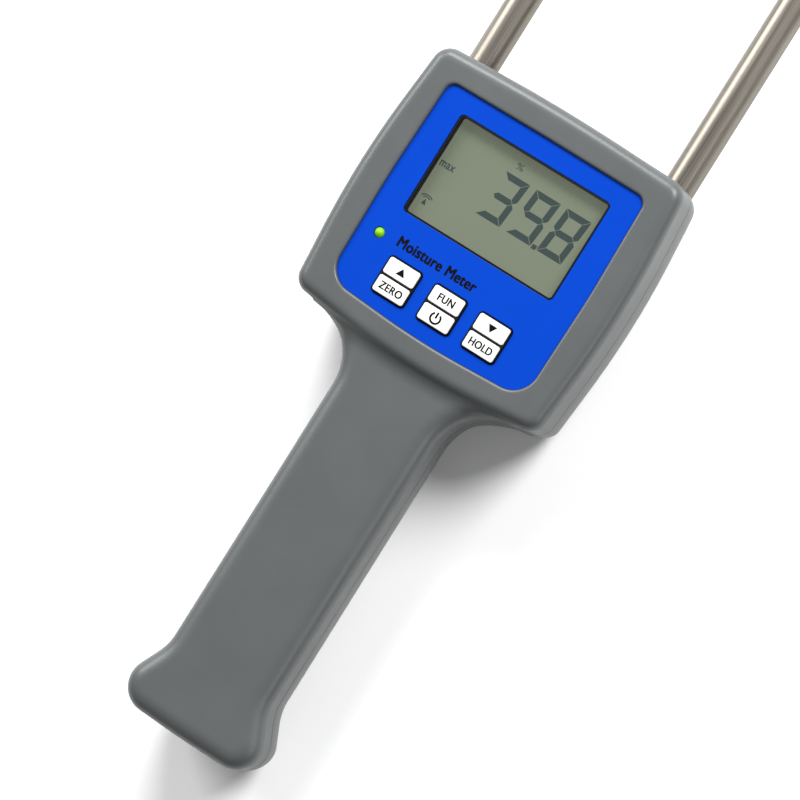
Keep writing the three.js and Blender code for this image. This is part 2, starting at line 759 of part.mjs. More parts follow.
function lugScrew(side) {
  const seat = ROD.inner - 2 * FIT - LUG.thick;
  const profile = [
    [0, seat - LUG_SCREW.headLength],
    [LUG_SCREW.head, seat - LUG_SCREW.headLength],
    [LUG_SCREW.head, seat],
    [LUG_SCREW.shank, seat],
    [LUG_SCREW.shank, seat + LUG_SCREW.shankLength],
    [0, seat + LUG_SCREW.shankLength],
  ];
  return turnedAlongY(profile, side * ROD.x, ROD.z, SMALL_ROUND);
}

function probeLead(side) {
  const x = side * (ROD.x - LUG.tail - 0.9);
  return wire(
    [
      [x, ROD.inner - 0.5, ROD.z],
      [x - side * 1.5, 7, ROD.z + 1],
      [x - side * 3, 3, ROD.z + 4],
      [x - side * 3, 2, BOARD.bottom - GAP],
    ],
    0.6,
  );
}

// ---- battery ----
// A cell lies along Y. Its nub points up the handle (1) or down it (-1).
function cell(side, row, nubTo) {
  const y0 = BAY.bottom + row * (CELL.length + 0.4);
  const y1 = y0 + CELL.length;
  const shoulder = CELL.length - CELL.nubLength;
  const rim = 0.4;
  const outline = [
    [0, 0],
    [CELL.radius - rim, 0],
    [CELL.radius, rim],
    [CELL.radius, shoulder - rim],
    [CELL.radius - rim, shoulder],
    [CELL.nub, shoulder],
    [CELL.nub, CELL.length],
    [0, CELL.length],
  ];
  const profile = nubTo > 0
    ? outline.map(([r, y]) => [r, y0 + y])
    : outline.map(([r, y]) => [r, y1 - y]).reverse();
  return turnedAlongY(profile, side * CELL.x, CELL.z, ROUND - 4);
}

const contactPlate = (x0, x1, y) =>
  block([x0, y, CELL.z - CONTACT.height / 2], [x1, y + CONTACT.thick, CELL.z + CONTACT.height / 2]);

function jumperContact() {
  const y = BAY.bottom - CONTACT.standoff - CONTACT.thick;
  const half = CELL.x + CONTACT.width / 2;
  const plate = contactPlate(-half, half, y);
  const dimple = turnedAlongY(
    [[0, y], [2.5, y], [1.6, BAY.bottom - GAP], [0, BAY.bottom - GAP]],
    -CELL.x,
    CELL.z,
    SMALL_ROUND,
  );
  return plate.add(dimple);
}

function cellContact(side, dimpled) {
  const y = BAY.top + CONTACT.standoff;
  const x = side * CELL.x;
  const plate = contactPlate(x - CONTACT.width / 2, x + CONTACT.width / 2, y);
  const tab = block([x - 1, y, CELL.z + 4], [x + 1, y + CONTACT.thick, REAR_TOP_Z - 1.5]);
  if (!dimpled) return plate.add(tab);
  const profile = [[0, BAY.top + GAP], [1.6, BAY.top + GAP], [2.5, y + 0.2], [0, y + 0.2]];
  return join(plate, tab, turnedAlongY(profile, x, CELL.z, SMALL_ROUND));
}

// A conical spring between a cell's flat end and its contact, wide at the contact.
class ConeHelix extends THREE.Curve {
  constructor(x, yWide, yNarrow) {
    super();
    Object.assign(this, { x, yWide, yNarrow });
  }

  getPoint(t) {
    const angle = t * SPRING.turns * Math.PI * 2;
    const radius = THREE.MathUtils.lerp(SPRING.wide, SPRING.narrow, t);
    const y = THREE.MathUtils.lerp(this.yWide, this.yNarrow, t);
    const z = CELL.z + radius * Math.sin(angle);
    return new THREE.Vector3(this.x + radius * Math.cos(angle), y, z);
  }
}

// It stands on the contact beyond a cell's end, in the direction that leads away from the cell.
function contactSpring(side, cellEnd, away) {
  const yWide = cellEnd + away * (CONTACT.standoff - SPRING.offPlate);
  const yNarrow = cellEnd + away * SPRING.offCell;
  const section = new THREE.Shape();
  section.absarc(0, 0, SPRING.wire, 0, Math.PI * 2);
  const options = {
    steps: 12 * SPRING.turns,
    curveSegments: 3,
    extrudePath: new ConeHelix(side * CELL.x, yWide, yNarrow),
    bevelEnabled: false,
  };
  return toSolid(new THREE.ExtrudeGeometry(section, options));
}

function batteryLead(side) {
  const y = BAY.top + CONTACT.standoff + CONTACT.thick + 0.8;
  return wire(
    [
      [side * (CELL.x - 0.5), y + 2, REAR_TOP_Z - 2.4],
      [side * 4, y + 6, REAR_TOP_Z - 2.4],
      [side * 3, y + 11, REAR_TOP_Z - 1.8],
      [side * 3, y + 13, BOARD.bottom - GAP],
    ],
    0.55,
  );
}

// ---- fasteners ----
function zScrew(x, y, seat, tip, { shank, head, headLength }) {
  const slot = 0.5;
  const profile = [
    [0, seat - headLength],
    [head, seat - headLength],
    [head, seat],
    [shank, seat],
    [shank, tip],
    [0, tip],
  ];
  const screw = turnedAlongZ(profile, x, y);
  const along = [x + head + 1, y + slot / 2, seat - headLength + 0.8];
  return screw.subtract(block([x - head - 1, y - slot / 2, seat - headLength - 1], along));
}

// ---- assembly ----
const outerRear = caseOuterRear();
const innerRear = caseInnerRear();
place("front_cover", frontCover(), CASE_GREY);
place("rear_cover", rearCover(outerRear, innerRear), CASE_GREY);
place("battery_door", batteryDoor(outerRear, innerRear), CASE_GREY);
place("face_label", faceLabel(), LABEL_BLUE);
place("window_gasket", windowGasket(), BLACK_RUBBER);
place("display_window", displayWindow(), CLEAR);
place("lcd_front_glass", lcdGlass(LCD_FRONT), LCD_GREY);
place("lcd_rear_glass", lcdGlass(LCD_REAR), LCD_GREY);
place("lcd_frame", lcdFrame(), WHITE_PLASTIC);
place("elastomer_strip_lower", elastomerStrip(-1), BLACK_RUBBER);
place("elastomer_strip_upper", elastomerStrip(1), BLACK_RUBBER);
place("status_led", statusLed(), LED_GREEN);
["up_zero", "function_power", "down_hold"].forEach((use, column) => {
  place(`key_${use}`, key(column), KEY_WHITE);
  place(`plunger_${use}`, switchPlunger(column), BLACK_PLASTIC);
  place(`switch_${use}`, switchBody(column), BLACK_PLASTIC);
});
place("main_board", mainBoard(), BOARD_GREEN);
place("controller_chip", controllerChip(), BLACK_PLASTIC);
place("quartz_crystal", quartzCrystal(), STEEL);
place("buzzer", buzzer(), BLACK_PLASTIC);
for (const [word, side] of [["left", -1], ["right", 1]]) {
  place(`probe_rod_${word}`, probeRod(side), STEEL);
  place(`probe_tip_${word}`, probeTip(side), STEEL);
  place(`probe_bush_${word}`, probeBush(side), BLACK_PLASTIC);
  place(`rod_end_plug_${word}`, rodEndPlug(side), BRASS);
  place(`solder_lug_${word}`, solderLug(side), BRASS);
  place(`lug_screw_${word}`, lugScrew(side), STEEL);
  place(`probe_lead_${word}`, probeLead(side), side < 0 ? BLACK_WIRE : RED_WIRE);
  place(`cell_lower_${word}`, cell(side, 0, side), CELL_CAN);
  place(`cell_upper_${word}`, cell(side, 1, side), CELL_CAN);
  place(`battery_lead_${word}`, batteryLead(side), side < 0 ? BLACK_WIRE : RED_WIRE);
}
place("contact_jumper", jumperContact(), STEEL);
place("contact_positive", cellContact(1, true), STEEL);
place("contact_negative", cellContact(-1, false), STEEL);
place("spring_negative", contactSpring(-1, BAY.top, 1), STEEL);
place("spring_jumper", contactSpring(1, BAY.bottom, -1), STEEL);
for (const spot of mirroredPlaces(CASE_SCREWS)) {
  const seat = CASE_BOSS.seat - 0.05;
  place(`case_screw_${placeName(spot)}`, zScrew(...spot, seat, CASE_BOSS.tip, CASE_SCREW), STEEL);
}
for (const spot of mirroredPlaces(BOARD_SCREWS)) {
  const seat = BOARD.bottom - 0.05;
  place(`board_screw_${placeName(spot)}`, zScrew(...spot, seat, BOARD_SCREW.tip, BOARD_SCREW), STEEL);
}

export default group;
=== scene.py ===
"""Looks of a hand-held grain moisture meter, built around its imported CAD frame.

+Z is out of the display, +Y towards the probe tips, +X to the display's right. Shapes are written
in millimetres and turned into metres when their mesh is made.
"""

import math

import bmesh
import bpy
import numpy as np
from mathutils import Matrix, Vector


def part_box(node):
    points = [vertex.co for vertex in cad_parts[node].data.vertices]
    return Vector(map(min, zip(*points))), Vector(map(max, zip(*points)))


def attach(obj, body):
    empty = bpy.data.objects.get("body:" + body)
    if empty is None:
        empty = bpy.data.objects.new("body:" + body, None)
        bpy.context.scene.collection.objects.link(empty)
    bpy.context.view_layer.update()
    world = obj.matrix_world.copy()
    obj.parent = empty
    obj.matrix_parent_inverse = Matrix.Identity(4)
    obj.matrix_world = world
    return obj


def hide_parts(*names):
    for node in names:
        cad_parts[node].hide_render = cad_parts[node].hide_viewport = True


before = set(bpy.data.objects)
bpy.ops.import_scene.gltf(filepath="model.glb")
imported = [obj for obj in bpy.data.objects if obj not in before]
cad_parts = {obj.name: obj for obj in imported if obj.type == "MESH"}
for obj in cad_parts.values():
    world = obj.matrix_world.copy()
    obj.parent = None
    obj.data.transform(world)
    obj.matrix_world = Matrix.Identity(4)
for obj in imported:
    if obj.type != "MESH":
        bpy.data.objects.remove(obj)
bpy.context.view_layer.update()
MM = 0.001

# ---- dimensions, in millimetres, repeated from the CAD source ----
GAP = 0.3
FIT = 0.1
WALL = 2.2

# Half outlines, right side, from the top centre clockwise: (x, y, corner radius).
HEAD_HALF = [(0, 35.3, 500), (35.3, 34, 4.6), (38.3, 0, 220), (35.5, -34, 4.2), (0, -37.9, 200)]
HANDLE_HALF_WIDTH = 14.65
BUTT_END = -140.9
HANDLE_HALF = [
    (0, 6, 200),
    (30, 5, 2),
    (30, -35, 1.5),
    (HANDLE_HALF_WIDTH, -36.7, 14.5),
    (HANDLE_HALF_WIDTH + 0.15, -123.4, 12),
    (22.9, BUTT_END + 0.5, 6.8),
    (0, BUTT_END, 300),
]
LABEL_HALF = [
    (0, 26.9, 300),
    (28.2, 26.7, 2.6),
    (28.9, 0, 200),
    (28.4, -28.3, 6.5),
    (0, -29.9, 200),
]

FACE_Z = 31
SEAM_Z = 19.5
REAR_TOP_Z = SEAM_Z - GAP
HEAD_EDGE = (3, 3)  # across, deep
HANDLE_FRONT_Z = 28.4
HANDLE_EDGE = (4.5, 3.5)
HEAD_BACK_EDGE = (6, REAR_TOP_Z)
HANDLE_BACK_Z = 0.4
HANDLE_BACK_EDGE = (9, REAR_TOP_Z - HANDLE_BACK_Z)
NECK_BLEND = 3.5  # how far the head's lower edge flows out over the handle's front
BACK_BLEND = 6  # the same between head and handle at the back

LABEL_TOP_Z = 30.1
LABEL_THICK = 0.6
RECESS_Z = LABEL_TOP_Z - LABEL_THICK - FIT
LIP = 0.7  # rounding of the recess's rim
HEAD_CEILING_Z = 27.6
HANDLE_CEILING_Z = HANDLE_FRONT_Z - WALL

WINDOW = {"y": 8.1, "width": 43.4, "height": 27.2, "corner": 1.3}
GASKET_WALL = 0.45
KEY = {"pitch": 13.1, "y": -20.75, "width": 9.4, "height": 9.8, "corner": 1.2, "top": 30.9}
KEY_CLEARANCE = 0.2
KEY_FLANGE = {"grow": 0.9, "bottom": 26.3, "top": 27.2}
PAD = {"inset": 0.35, "height": 4.25, "proud": 0.25, "corner": 0.6}
KEY_STEM = {"radius": 1.7, "below": 0.7, "overlap": 0.5}
KEYS = ["up_zero", "function_power", "down_hold"]
INK = {"on_label": 0.03, "on_keys": 0.025}  # how thick the print is

LED = {"x": -23.4, "y": -12.9, "radius": 1.2, "hole": 1.4, "flange": 1.9}
LED_FLANGE_Z = 26.2
LED_LEG = {"x": 1.1, "half": 0.25}
ROD = {"x": 29, "z": 12.4, "radius": 4, "bore": 3.6, "inner": 10, "tip": 317.1, "cone": 11}
ROD_SADDLE = {"from": 14, "to": 16, "half_width": 5, "bottom": 1}
BUSH = {"outer": 4.9, "from": 24, "clearance": 0.08, "bevel": 0.4}

CASE_SCREWS = [(18, 30), (30.3, -29.4)]
CASE_BOSS = {"radius": 3.2, "hole": 1.4, "well": 2.6, "seat": 8, "top": 25.3}
BOARD_SCREWS = [(27.5, 21.5), (26, -21.5)]
BOARD_BOSS = {"radius": 2.4, "hole": 1.15, "bottom": 21.3, "top": 25.8}
DOOR = {"half_width": 11.5, "top": -60, "height": 8.2}
DOOR_GRIP = {"ridges": 5, "pitch": 2.4, "first": -66, "width": 12, "size": 0.9}
BAY_WALL = {"thick": 1.5, "half_width": 14.5, "foot_half_width": 8}
BAY_SHEETS = [(-36.4, 1), (-133.3, 3.6)]  # y and lowest z of each end wall of the battery bay
WIRE_NOTCH = {"half_width": 2.2, "from": -39.4, "to": -31.4, "depth": 4}
TONGUE = {"thick": 0.9, "depth": 3, "rise": 1.6, "root": 0.2, "root_drop": 0.5}

CELL_MM = 0.7  # grid step of the shell's surface
CURVE_STEP = math.radians(5)
ROUND = 72


# ---- camera ----
def add_camera():
    """Looks steeply down on the face from the display's right, with the meter leaning over."""
    azimuth, elevation, lean = math.radians(5), math.radians(74), math.radians(32.05)
    aim = Vector((3.08, -44.12, 30.1)) * MM
    distance, view_width = 1.0, 0.1899
    back = Vector(
        (
            math.cos(elevation) * math.cos(azimuth),
            math.cos(elevation) * math.sin(azimuth),
            math.sin(elevation),
        )
    )
    upright = Vector((0, 1, 0))
    upright = (upright - back * upright.dot(back)).normalized()
    side = upright.cross(back)
    right = side * math.cos(lean) + upright * math.sin(lean)
    up = upright * math.cos(lean) - side * math.sin(lean)
    data = bpy.data.cameras.new("camera")
    data.sensor_width = 36
    data.lens = 36 * distance / view_width
    camera = bpy.data.objects.new("camera", data)
    turn = Matrix((right, up, back)).transposed().to_4x4()
    camera.matrix_world = Matrix.Translation(aim + back * distance) @ turn
    bpy.context.scene.collection.objects.link(camera)
    bpy.context.scene.camera = camera


# ---- meshes ----
def new_object(name, vertices, faces):
    """A mesh object from millimetre vertices."""
    mesh = bpy.data.meshes.new(name)
    mesh.from_pydata([tuple(v) for v in np.asarray(vertices, float) * MM], [], faces)
    mesh.update()
    made = bpy.data.objects.new(name, mesh)
    bpy.context.scene.collection.objects.link(made)
    return made


def apply_modifiers(target):
    bpy.context.view_layer.update()
    graph = bpy.context.evaluated_depsgraph_get()
    mesh = bpy.data.meshes.new_from_object(target.evaluated_get(graph))
    target.modifiers.clear()
    target.data = mesh
    return target


def combine(target, tool, operation):
    """Boolean of two closed meshes. The tool is used up."""
    modifier = target.modifiers.new("combine", "BOOLEAN")
    modifier.operation = operation
    modifier.solver = "MANIFOLD"
    modifier.object = tool
    apply_modifiers(target)
    bpy.data.objects.remove(tool)
    return target


def together(pieces):
    """Solids that don't touch each other, as one object."""
    merged = bmesh.new()
    for piece in pieces:
        merged.from_mesh(piece.data)
    merged.to_mesh(pieces[0].data)
    merged.free()
    for piece in pieces[1:]:
        bpy.data.objects.remove(piece)
    return pieces[0]


def cut(target, *tools):
    """The target less tools that don't touch each other."""
    return combine(target, together(tools), "DIFFERENCE")


def join(target, *tools):
    """The target with tools that don't touch each other."""
    return combine(target, together(tools), "UNION")


def smooth(target, angle=32):
    """Shades smoothly, with creases where faces meet at more than the angle."""
    target.data.shade_smooth()
    target.data.set_sharp_from_angle(angle=math.radians(angle))
    return target


def block(low, high):
    (x0, y0, z0), (x1, y1, z1) = low, high
    corners = [(x, y, z) for z in (z0, z1) for y in (y0, y1) for x in (x0, x1)]
    faces = [(0, 2, 3, 1), (4, 5, 7, 6), (0, 1, 5, 4), (2, 6, 7, 3), (0, 4, 6, 2), (1, 3, 7, 5)]
    return new_object("block", corners, faces)


def turned(profile, axis, centre, facets=ROUND):
    """A closed loop of (radius, height) pairs turned about Y or Z through centre."""
    vertices, rings = [], []
    for radius, height in profile:
        count = 1 if radius == 0 else facets
        rings.append(list(range(len(vertices), len(vertices) + count)))
        for k in range(count):
            angle = 2 * math.pi * k / facets
            a, b = radius * math.cos(angle), radius * math.sin(angle)
            if axis == "Z":
                vertices.append((centre[0] + a, centre[1] + b, height))
            else:
                vertices.append((centre[0] + b, height, centre[1] + a))
    faces = []
    loop = rings if profile[0][0] == 0 else [*rings, rings[0]]
    for lower, upper in zip(loop, loop[1:]):
        for k in range(facets):
            following = (k + 1) % facets
            corners = [lower[k % len(lower)], lower[following % len(lower)]]
            corners += [upper[following % len(upper)], upper[k % len(upper)]]
            face = list(dict.fromkeys(corners))
            if len(face) > 2:
                faces.append(face)
    return new_object("turned", vertices, faces)


def rod_profile(radius, low, high):
    return [(0, low), (radius, low), (radius, high), (0, high)]


def post(x, y, z0, z1, radius, facets=32):
    return turned(rod_profile(radius, z0, z1), "Z", (x, y), facets)


# ---- outlines ----
def whole_loop(half):
    return half + [(-x, y, radius) for x, y, radius in reversed(half) if x > 0]


def bend_at(before, corner, after):
    into = Vector((corner[0] - before[0], corner[1] - before[1])).normalized()
    out = Vector((after[0] - corner[0], after[1] - corner[1])).normalized()
    return into, out, math.atan2(into.x * out.y - into.y * out.x, into.dot(out))


def neighbours(loop, i):
    return loop[i - 1], loop[i], loop[(i + 1) % len(loop)]


def inset_loop(loop, distance):
    """The loop moved inwards. A rounded corner keeps at least a small radius."""
    least, moved = 0.3, []
    for i, (x, y, radius) in enumerate(loop):
        into, out, turn = bend_at(*neighbours(loop, i))
        reach = distance / math.cos(turn / 2)
        inward = Vector((into.y + out.y, -into.x - out.x)).normalized()
        kept = max(radius - distance, least) if turn < 0 else radius + distance
        moved.append((x + inward.x * reach, y + inward.y * reach, kept))
    return moved


def loop_points(loop, counts):
    """Points of a loop with each corner rounded. Where two roundings would meet, both shrink."""
    bends = [bend_at(*neighbours(loop, i)) for i in range(len(loop))]
    tangents = [c[2] * math.tan(abs(b[2]) / 2) for c, b in zip(loop, bends)]
    rooms = []
    for i, corner in enumerate(loop):
        j = (i + 1) % len(loop)
        edge = math.hypot(loop[j][0] - corner[0], loop[j][1] - corner[1])
        rooms.append(edge * 0.98 / (tangents[i] + tangents[j]))
    points = []
    for i, corner in enumerate(loop):
        into, _, turn = bends[i]
        tangent = tangents[i] * min(1, rooms[i], rooms[i - 1])
        radius = tangent / math.tan(abs(turn) / 2)
        side = math.copysign(1, turn)
        centre = Vector(corner[:2]) - into * tangent + Vector((-into.y, into.x)) * side * radius
        start = math.atan2(-side * into.x, side * into.y)
        for k in range(counts[i] + 1):
            angle = start + turn * k / counts[i]
            points.append((centre.x + radius * math.cos(angle), centre.y + radius * math.sin(angle)))
    return points


def facet_counts(loop):
    gentle = 10
    turns = [abs(bend_at(*neighbours(loop, i))[2]) for i in range(len(loop))]
    return [
        gentle if corner[2] > 100 else max(2, math.ceil(turn / CURVE_STEP))
        for corner, turn in zip(loop, turns)
    ]


def stack(half, levels, name="stack"):
    """A closed solid through (inset, z) levels of one half outline, lowest level first."""
    loop = whole_loop(half)
    counts = facet_counts(loop)
    vertices = []
    for inset, z in levels:
        ring = loop_points(inset_loop(loop, inset), counts)
        vertices += [(x, y, z) for x, y in reversed(ring)]
    size = len(vertices) // len(levels)
    faces = [list(range(size))[::-1]]
    for level in range(len(levels) - 1):
        for i in range(size):
            a, b = level * size + i, level * size + (i + 1) % size
            faces.append([a, b, b + size, a + size])
    faces.append([(len(levels) - 1) * size + i for i in range(size)])
    return new_object(name, vertices, faces)


def quarter(rings):
    return [k / rings * math.pi / 2 for k in range(rings + 1)]


def rounded_levels(z0, z1, edge, rings=6):
    """Straight up from z0, then rounded over to z1."""
    over = [(edge * (1 - math.cos(a)), z1 - edge * (1 - math.sin(a))) for a in quarter(rings)]
    return [(0, z0), *over]


def back_levels(z1, edge, inset):
    across, deep = edge
    return [
        (inset + across * (1 - math.cos(a)), z1 - deep * math.sin(a)) for a in reversed(quarter(12))
    ]


def straight(half, inset, z0, z1):
    return stack(half, [(inset, z0), (inset, z1)])


def rectangle_half(width, height, y, corner):
    return [(width / 2, y + height / 2, corner), (width / 2, y - height / 2, corner)]


def shifted(target, x):
    target.data.transform(Matrix.Translation((x * MM, 0, 0)))
    return target


def rounded_block(x, y, width, height, corner, levels):
    return shifted(stack(rectangle_half(width, height, y, corner), levels), x)


def mirrored(places):
    return [(side * x, y) for x, y in places for side in (-1, 1)]


def key_x(column):
    return (column - 1) * KEY["pitch"]


# ---- the case's outer surface ----
def outline_distance(points, outline):
    """Signed distance of (n, 2) points to a closed outline, negative inside."""
    a = np.asarray(outline, float)
    keep = np.hypot(*(np.roll(a, -1, axis=0) - a).T) > 1e-6
    a = a[keep]
    edge = np.roll(a, -1, axis=0) - a
    length2 = (edge**2).sum(1)
    found = np.empty(len(points))
    for start in range(0, len(points), 8192):
        p = points[start : start + 8192, None, :] - a[None]
        along = np.clip((p * edge).sum(2) / length2, 0, 1)
        away = p - along[..., None] * edge
        nearest = np.sqrt((away**2).sum(2).min(1))
        above = p[..., 1] >= 0
        crosses = above != (np.roll(above, -1, axis=1))
        left = edge[:, 0] * p[..., 1] - edge[:, 1] * p[..., 0] > 0
        inside = (crosses & (left == (edge[:, 1] < 0))).sum(1) % 2 == 1
        found[start : start + 8192] = np.where(inside, -nearest, nearest)
    return found


def distance_map(outline, low, high):
    """A function that gives (n, 2) points' signed distances to an outline, read from a fine grid."""
    step = CELL_MM / 2
    axes = [np.arange(a, b + 2 * step, step) for a, b in zip(low, high)]
    x, y = np.meshgrid(*axes, indexing="ij")
    table = outline_distance(np.stack([x.ravel(), y.ravel()], 1), outline).reshape(x.shape)

    def lookup(points):
        place = (points - np.array(low)) / step
        cell = np.clip(place.astype(int), 0, np.array(table.shape) - 2)
        a, b = (place - cell).T
        i, j = cell.T
        near = table[i, j] * (1 - b) + table[i, j + 1] * b
        far = table[i + 1, j] * (1 - b) + table[i + 1, j + 1] * b
        return near * (1 - a) + far * a

    return lookup


def corner_field(plan, rise, across, deep):
    """Zero on an elliptical edge between a wall (plan = 0) and a flat (rise = 0)."""
    a, b = plan / across + 1, rise / deep + 1
    outside = np.hypot(np.maximum(a, 0), np.maximum(b, 0))
    return (outside + np.minimum(np.maximum(a, b), 0) - 1) * min(across, deep)


def smooth_least(a, b, reach):
    closeness = np.maximum(reach - np.abs(a - b), 0) / reach
    return np.minimum(a, b) - closeness**2 * reach / 4


def case_field(head, handle, z):
    """The whole case: negative inside, from the distances to the two plan outlines and z."""
    front_head = corner_field(head, z - FACE_Z, *HEAD_EDGE)
    front_handle = corner_field(handle, z - HANDLE_FRONT_Z, *HANDLE_EDGE)
    drop = np.clip((FACE_Z - z) / (FACE_Z - HANDLE_FRONT_Z), 0.001, 1)
    front = smooth_least(front_head, front_handle, NECK_BLEND * drop)
    back_head = corner_field(head, -z, *HEAD_BACK_EDGE)
    back_handle = corner_field(handle, HANDLE_BACK_Z - z, *HANDLE_BACK_EDGE)
    back = smooth_least(back_head, back_handle, BACK_BLEND)
    plan = np.minimum(head, handle)
    middle = (SEAM_Z + REAR_TOP_Z) / 2
    return np.maximum(np.where(z > middle, front, back), np.maximum(plan, -z))


def crossing_sums(values, inside):
    """For each grid cell, the sum of the places where its edges cross zero, and their number."""
    shape = np.array(values.shape) - 1
    total = np.zeros((*shape, 3))
    hits = np.zeros(shape)
    corners = [slice(0, -1), slice(1, None)]
    for axis in range(3):
        others = [k for k in range(3) if k != axis]
        for u in (0, 1):
            for v in (0, 1):
                pick = [None, None, None]
                pick[others[0]], pick[others[1]] = corners[u], corners[v]
                pick[axis] = corners[0]
                a, inside_a = values[tuple(pick)], inside[tuple(pick)]
                pick[axis] = corners[1]
                b, inside_b = values[tuple(pick)], inside[tuple(pick)]
                crossed = inside_a != inside_b
                offset = np.zeros((*shape, 3))
                gap = np.where(crossed, a - b, 1)
                offset[..., axis] = np.where(crossed, a / gap, 0)
                offset[..., others[0]], offset[..., others[1]] = u, v
                total += offset * crossed[..., None]
                hits += crossed
    return total, hits


def crossing_quads(inside, number):
    """A quad across each grid edge that leaves or enters the shape, facing out."""
    faces = []
    for axis in range(3):
        u, v = (axis + 1) % 3, (axis + 2) % 3
        count = number.shape[axis]
        here = inside.take(range(count), axis)
        after = inside.take(range(1, count + 1), axis)
        edges = np.argwhere(here != after)
        leaving = here[tuple(edges.T)]
        ring = []
        for du, dv in ((-1, -1), (0, -1), (0, 0), (-1, 0)):
            cell = edges.copy()
            cell[:, u] += du
            cell[:, v] += dv
            ring.append(number[tuple(cell.T)])
        ring = np.stack(ring, 1)
        ring[~leaving] = ring[~leaving][:, ::-1]
        faces.append(ring)
    return np.concatenate(faces).tolist()


def grid_surface(field, low, high, step):
    """Vertices and quads of a field's zero surface: one vertex in each grid cell that it crosses."""
    axes = [np.arange(a, b + step, step) for a, b in zip(low, high)]
    values = field(axes)
    inside = values < 0
    total, hits = crossing_sums(values, inside)
    cells = np.argwhere(hits > 0)
    number = np.full(hits.shape, -1)
    number[tuple(cells.T)] = np.arange(len(cells))
    spots = total[tuple(cells.T)] / hits[tuple(cells.T)][:, None]
    vertices = (cells + spots) * step + np.array([axis[0] for axis in axes])
    return vertices, crossing_quads(inside, number)


def case_surface():
    """The case's closed outer surface, its vertices drawn exactly onto the field's zero."""
    margin, nudge = 2 * CELL_MM, 0.01
    half_width = max(x for x, _, _ in HEAD_HALF) + margin
    low = (-half_width, BUTT_END - margin, -margin)
    high = (half_width, HEAD_HALF[0][1] + margin, FACE_Z + margin)
    maps = []
    for half in (HEAD_HALF, HANDLE_HALF):
        loop = whole_loop(half)
        maps.append(distance_map(loop_points(loop, facet_counts(loop)), low[:2], high[:2]))

    def on_grid(axes):
        x, y = np.meshgrid(axes[0], axes[1], indexing="ij")
        points = np.stack([x.ravel(), y.ravel()], 1)
        head, handle = (distance(points).reshape(*x.shape, 1) for distance in maps)
        return case_field(head, handle, axes[2][None, None, :])

    def at(points):
        head, handle = (distance(points[:, :2]) for distance in maps)
        return case_field(head, handle, points[:, 2])

    vertices, faces = grid_surface(on_grid, low, high, CELL_MM)
    for _ in range(4):
        value = at(vertices)
        slope = np.stack([(at(vertices + step) - value) / nudge for step in np.eye(3) * nudge], 1)
        steep = np.maximum((slope**2).sum(1), 0.04)
        move = -(value / steep)[:, None] * slope
        vertices = vertices + np.clip(move, -CELL_MM / 3, CELL_MM / 3)
    return new_object("case_surface", vertices, faces)


# ---- materials ----
def nodes_of(name):
    made = bpy.data.materials.new(name)
    made.use_nodes = True
    made.node_tree.nodes.clear()
    return made, made.node_tree


def linked(tree, kind, settings=None, **inputs):
    """A new node with its inputs set to values or linked to sockets."""
    node = tree.nodes.new(kind)
    for key, value in (settings or {}).items():
        setattr(node, key, value)
    for key, value in inputs.items():
        socket = node.inputs[key.replace("_", " ")]
        if isinstance(value, bpy.types.NodeSocket):
            tree.links.new(value, socket)
        else:
            socket.default_value = value
    return node


def noise(tree, size, detail=3.0, stretch=(1, 1, 1), roughness=0.5):
    """Noise whose features are about size millimetres across, longer along stretched axes."""
    where = linked(tree, "ShaderNodeTexCoord").outputs["Object"]
    scale = tuple(1 / s for s in stretch)
    placed = linked(tree, "ShaderNodeMapping", Vector=where, Scale=scale).outputs["Vector"]
    texture = linked(
        tree,
        "ShaderNodeTexNoise",
        Vector=placed,
        Scale=1 / (size * MM),
        Detail=detail,
        Roughness=roughness,
    )
    return texture.outputs["Fac"]


def ramp(tree, value, from_low, from_high, to_low, to_high):
    node = linked(tree, "ShaderNodeMapRange", Value=value)
    for key, number in zip(
        ("From Min", "From Max", "To Min", "To Max"), (from_low, from_high, to_low, to_high)
    ):
        node.inputs[key].default_value = number
    return node.outputs["Result"]


def mixed(tree, factor, a, b):
    node = tree.nodes.new("ShaderNodeMix")
    node.data_type = "RGBA"
    tree.links.new(factor, node.inputs[0])
    for socket, value in ((node.inputs[6], a), (node.inputs[7], b)):
        if isinstance(value, bpy.types.NodeSocket):
            tree.links.new(value, socket)
        else:
            socket.default_value = (*value, 1)
    return node.outputs[2]


def shade(color, factor):
    return tuple(min(1, c * factor) for c in color)


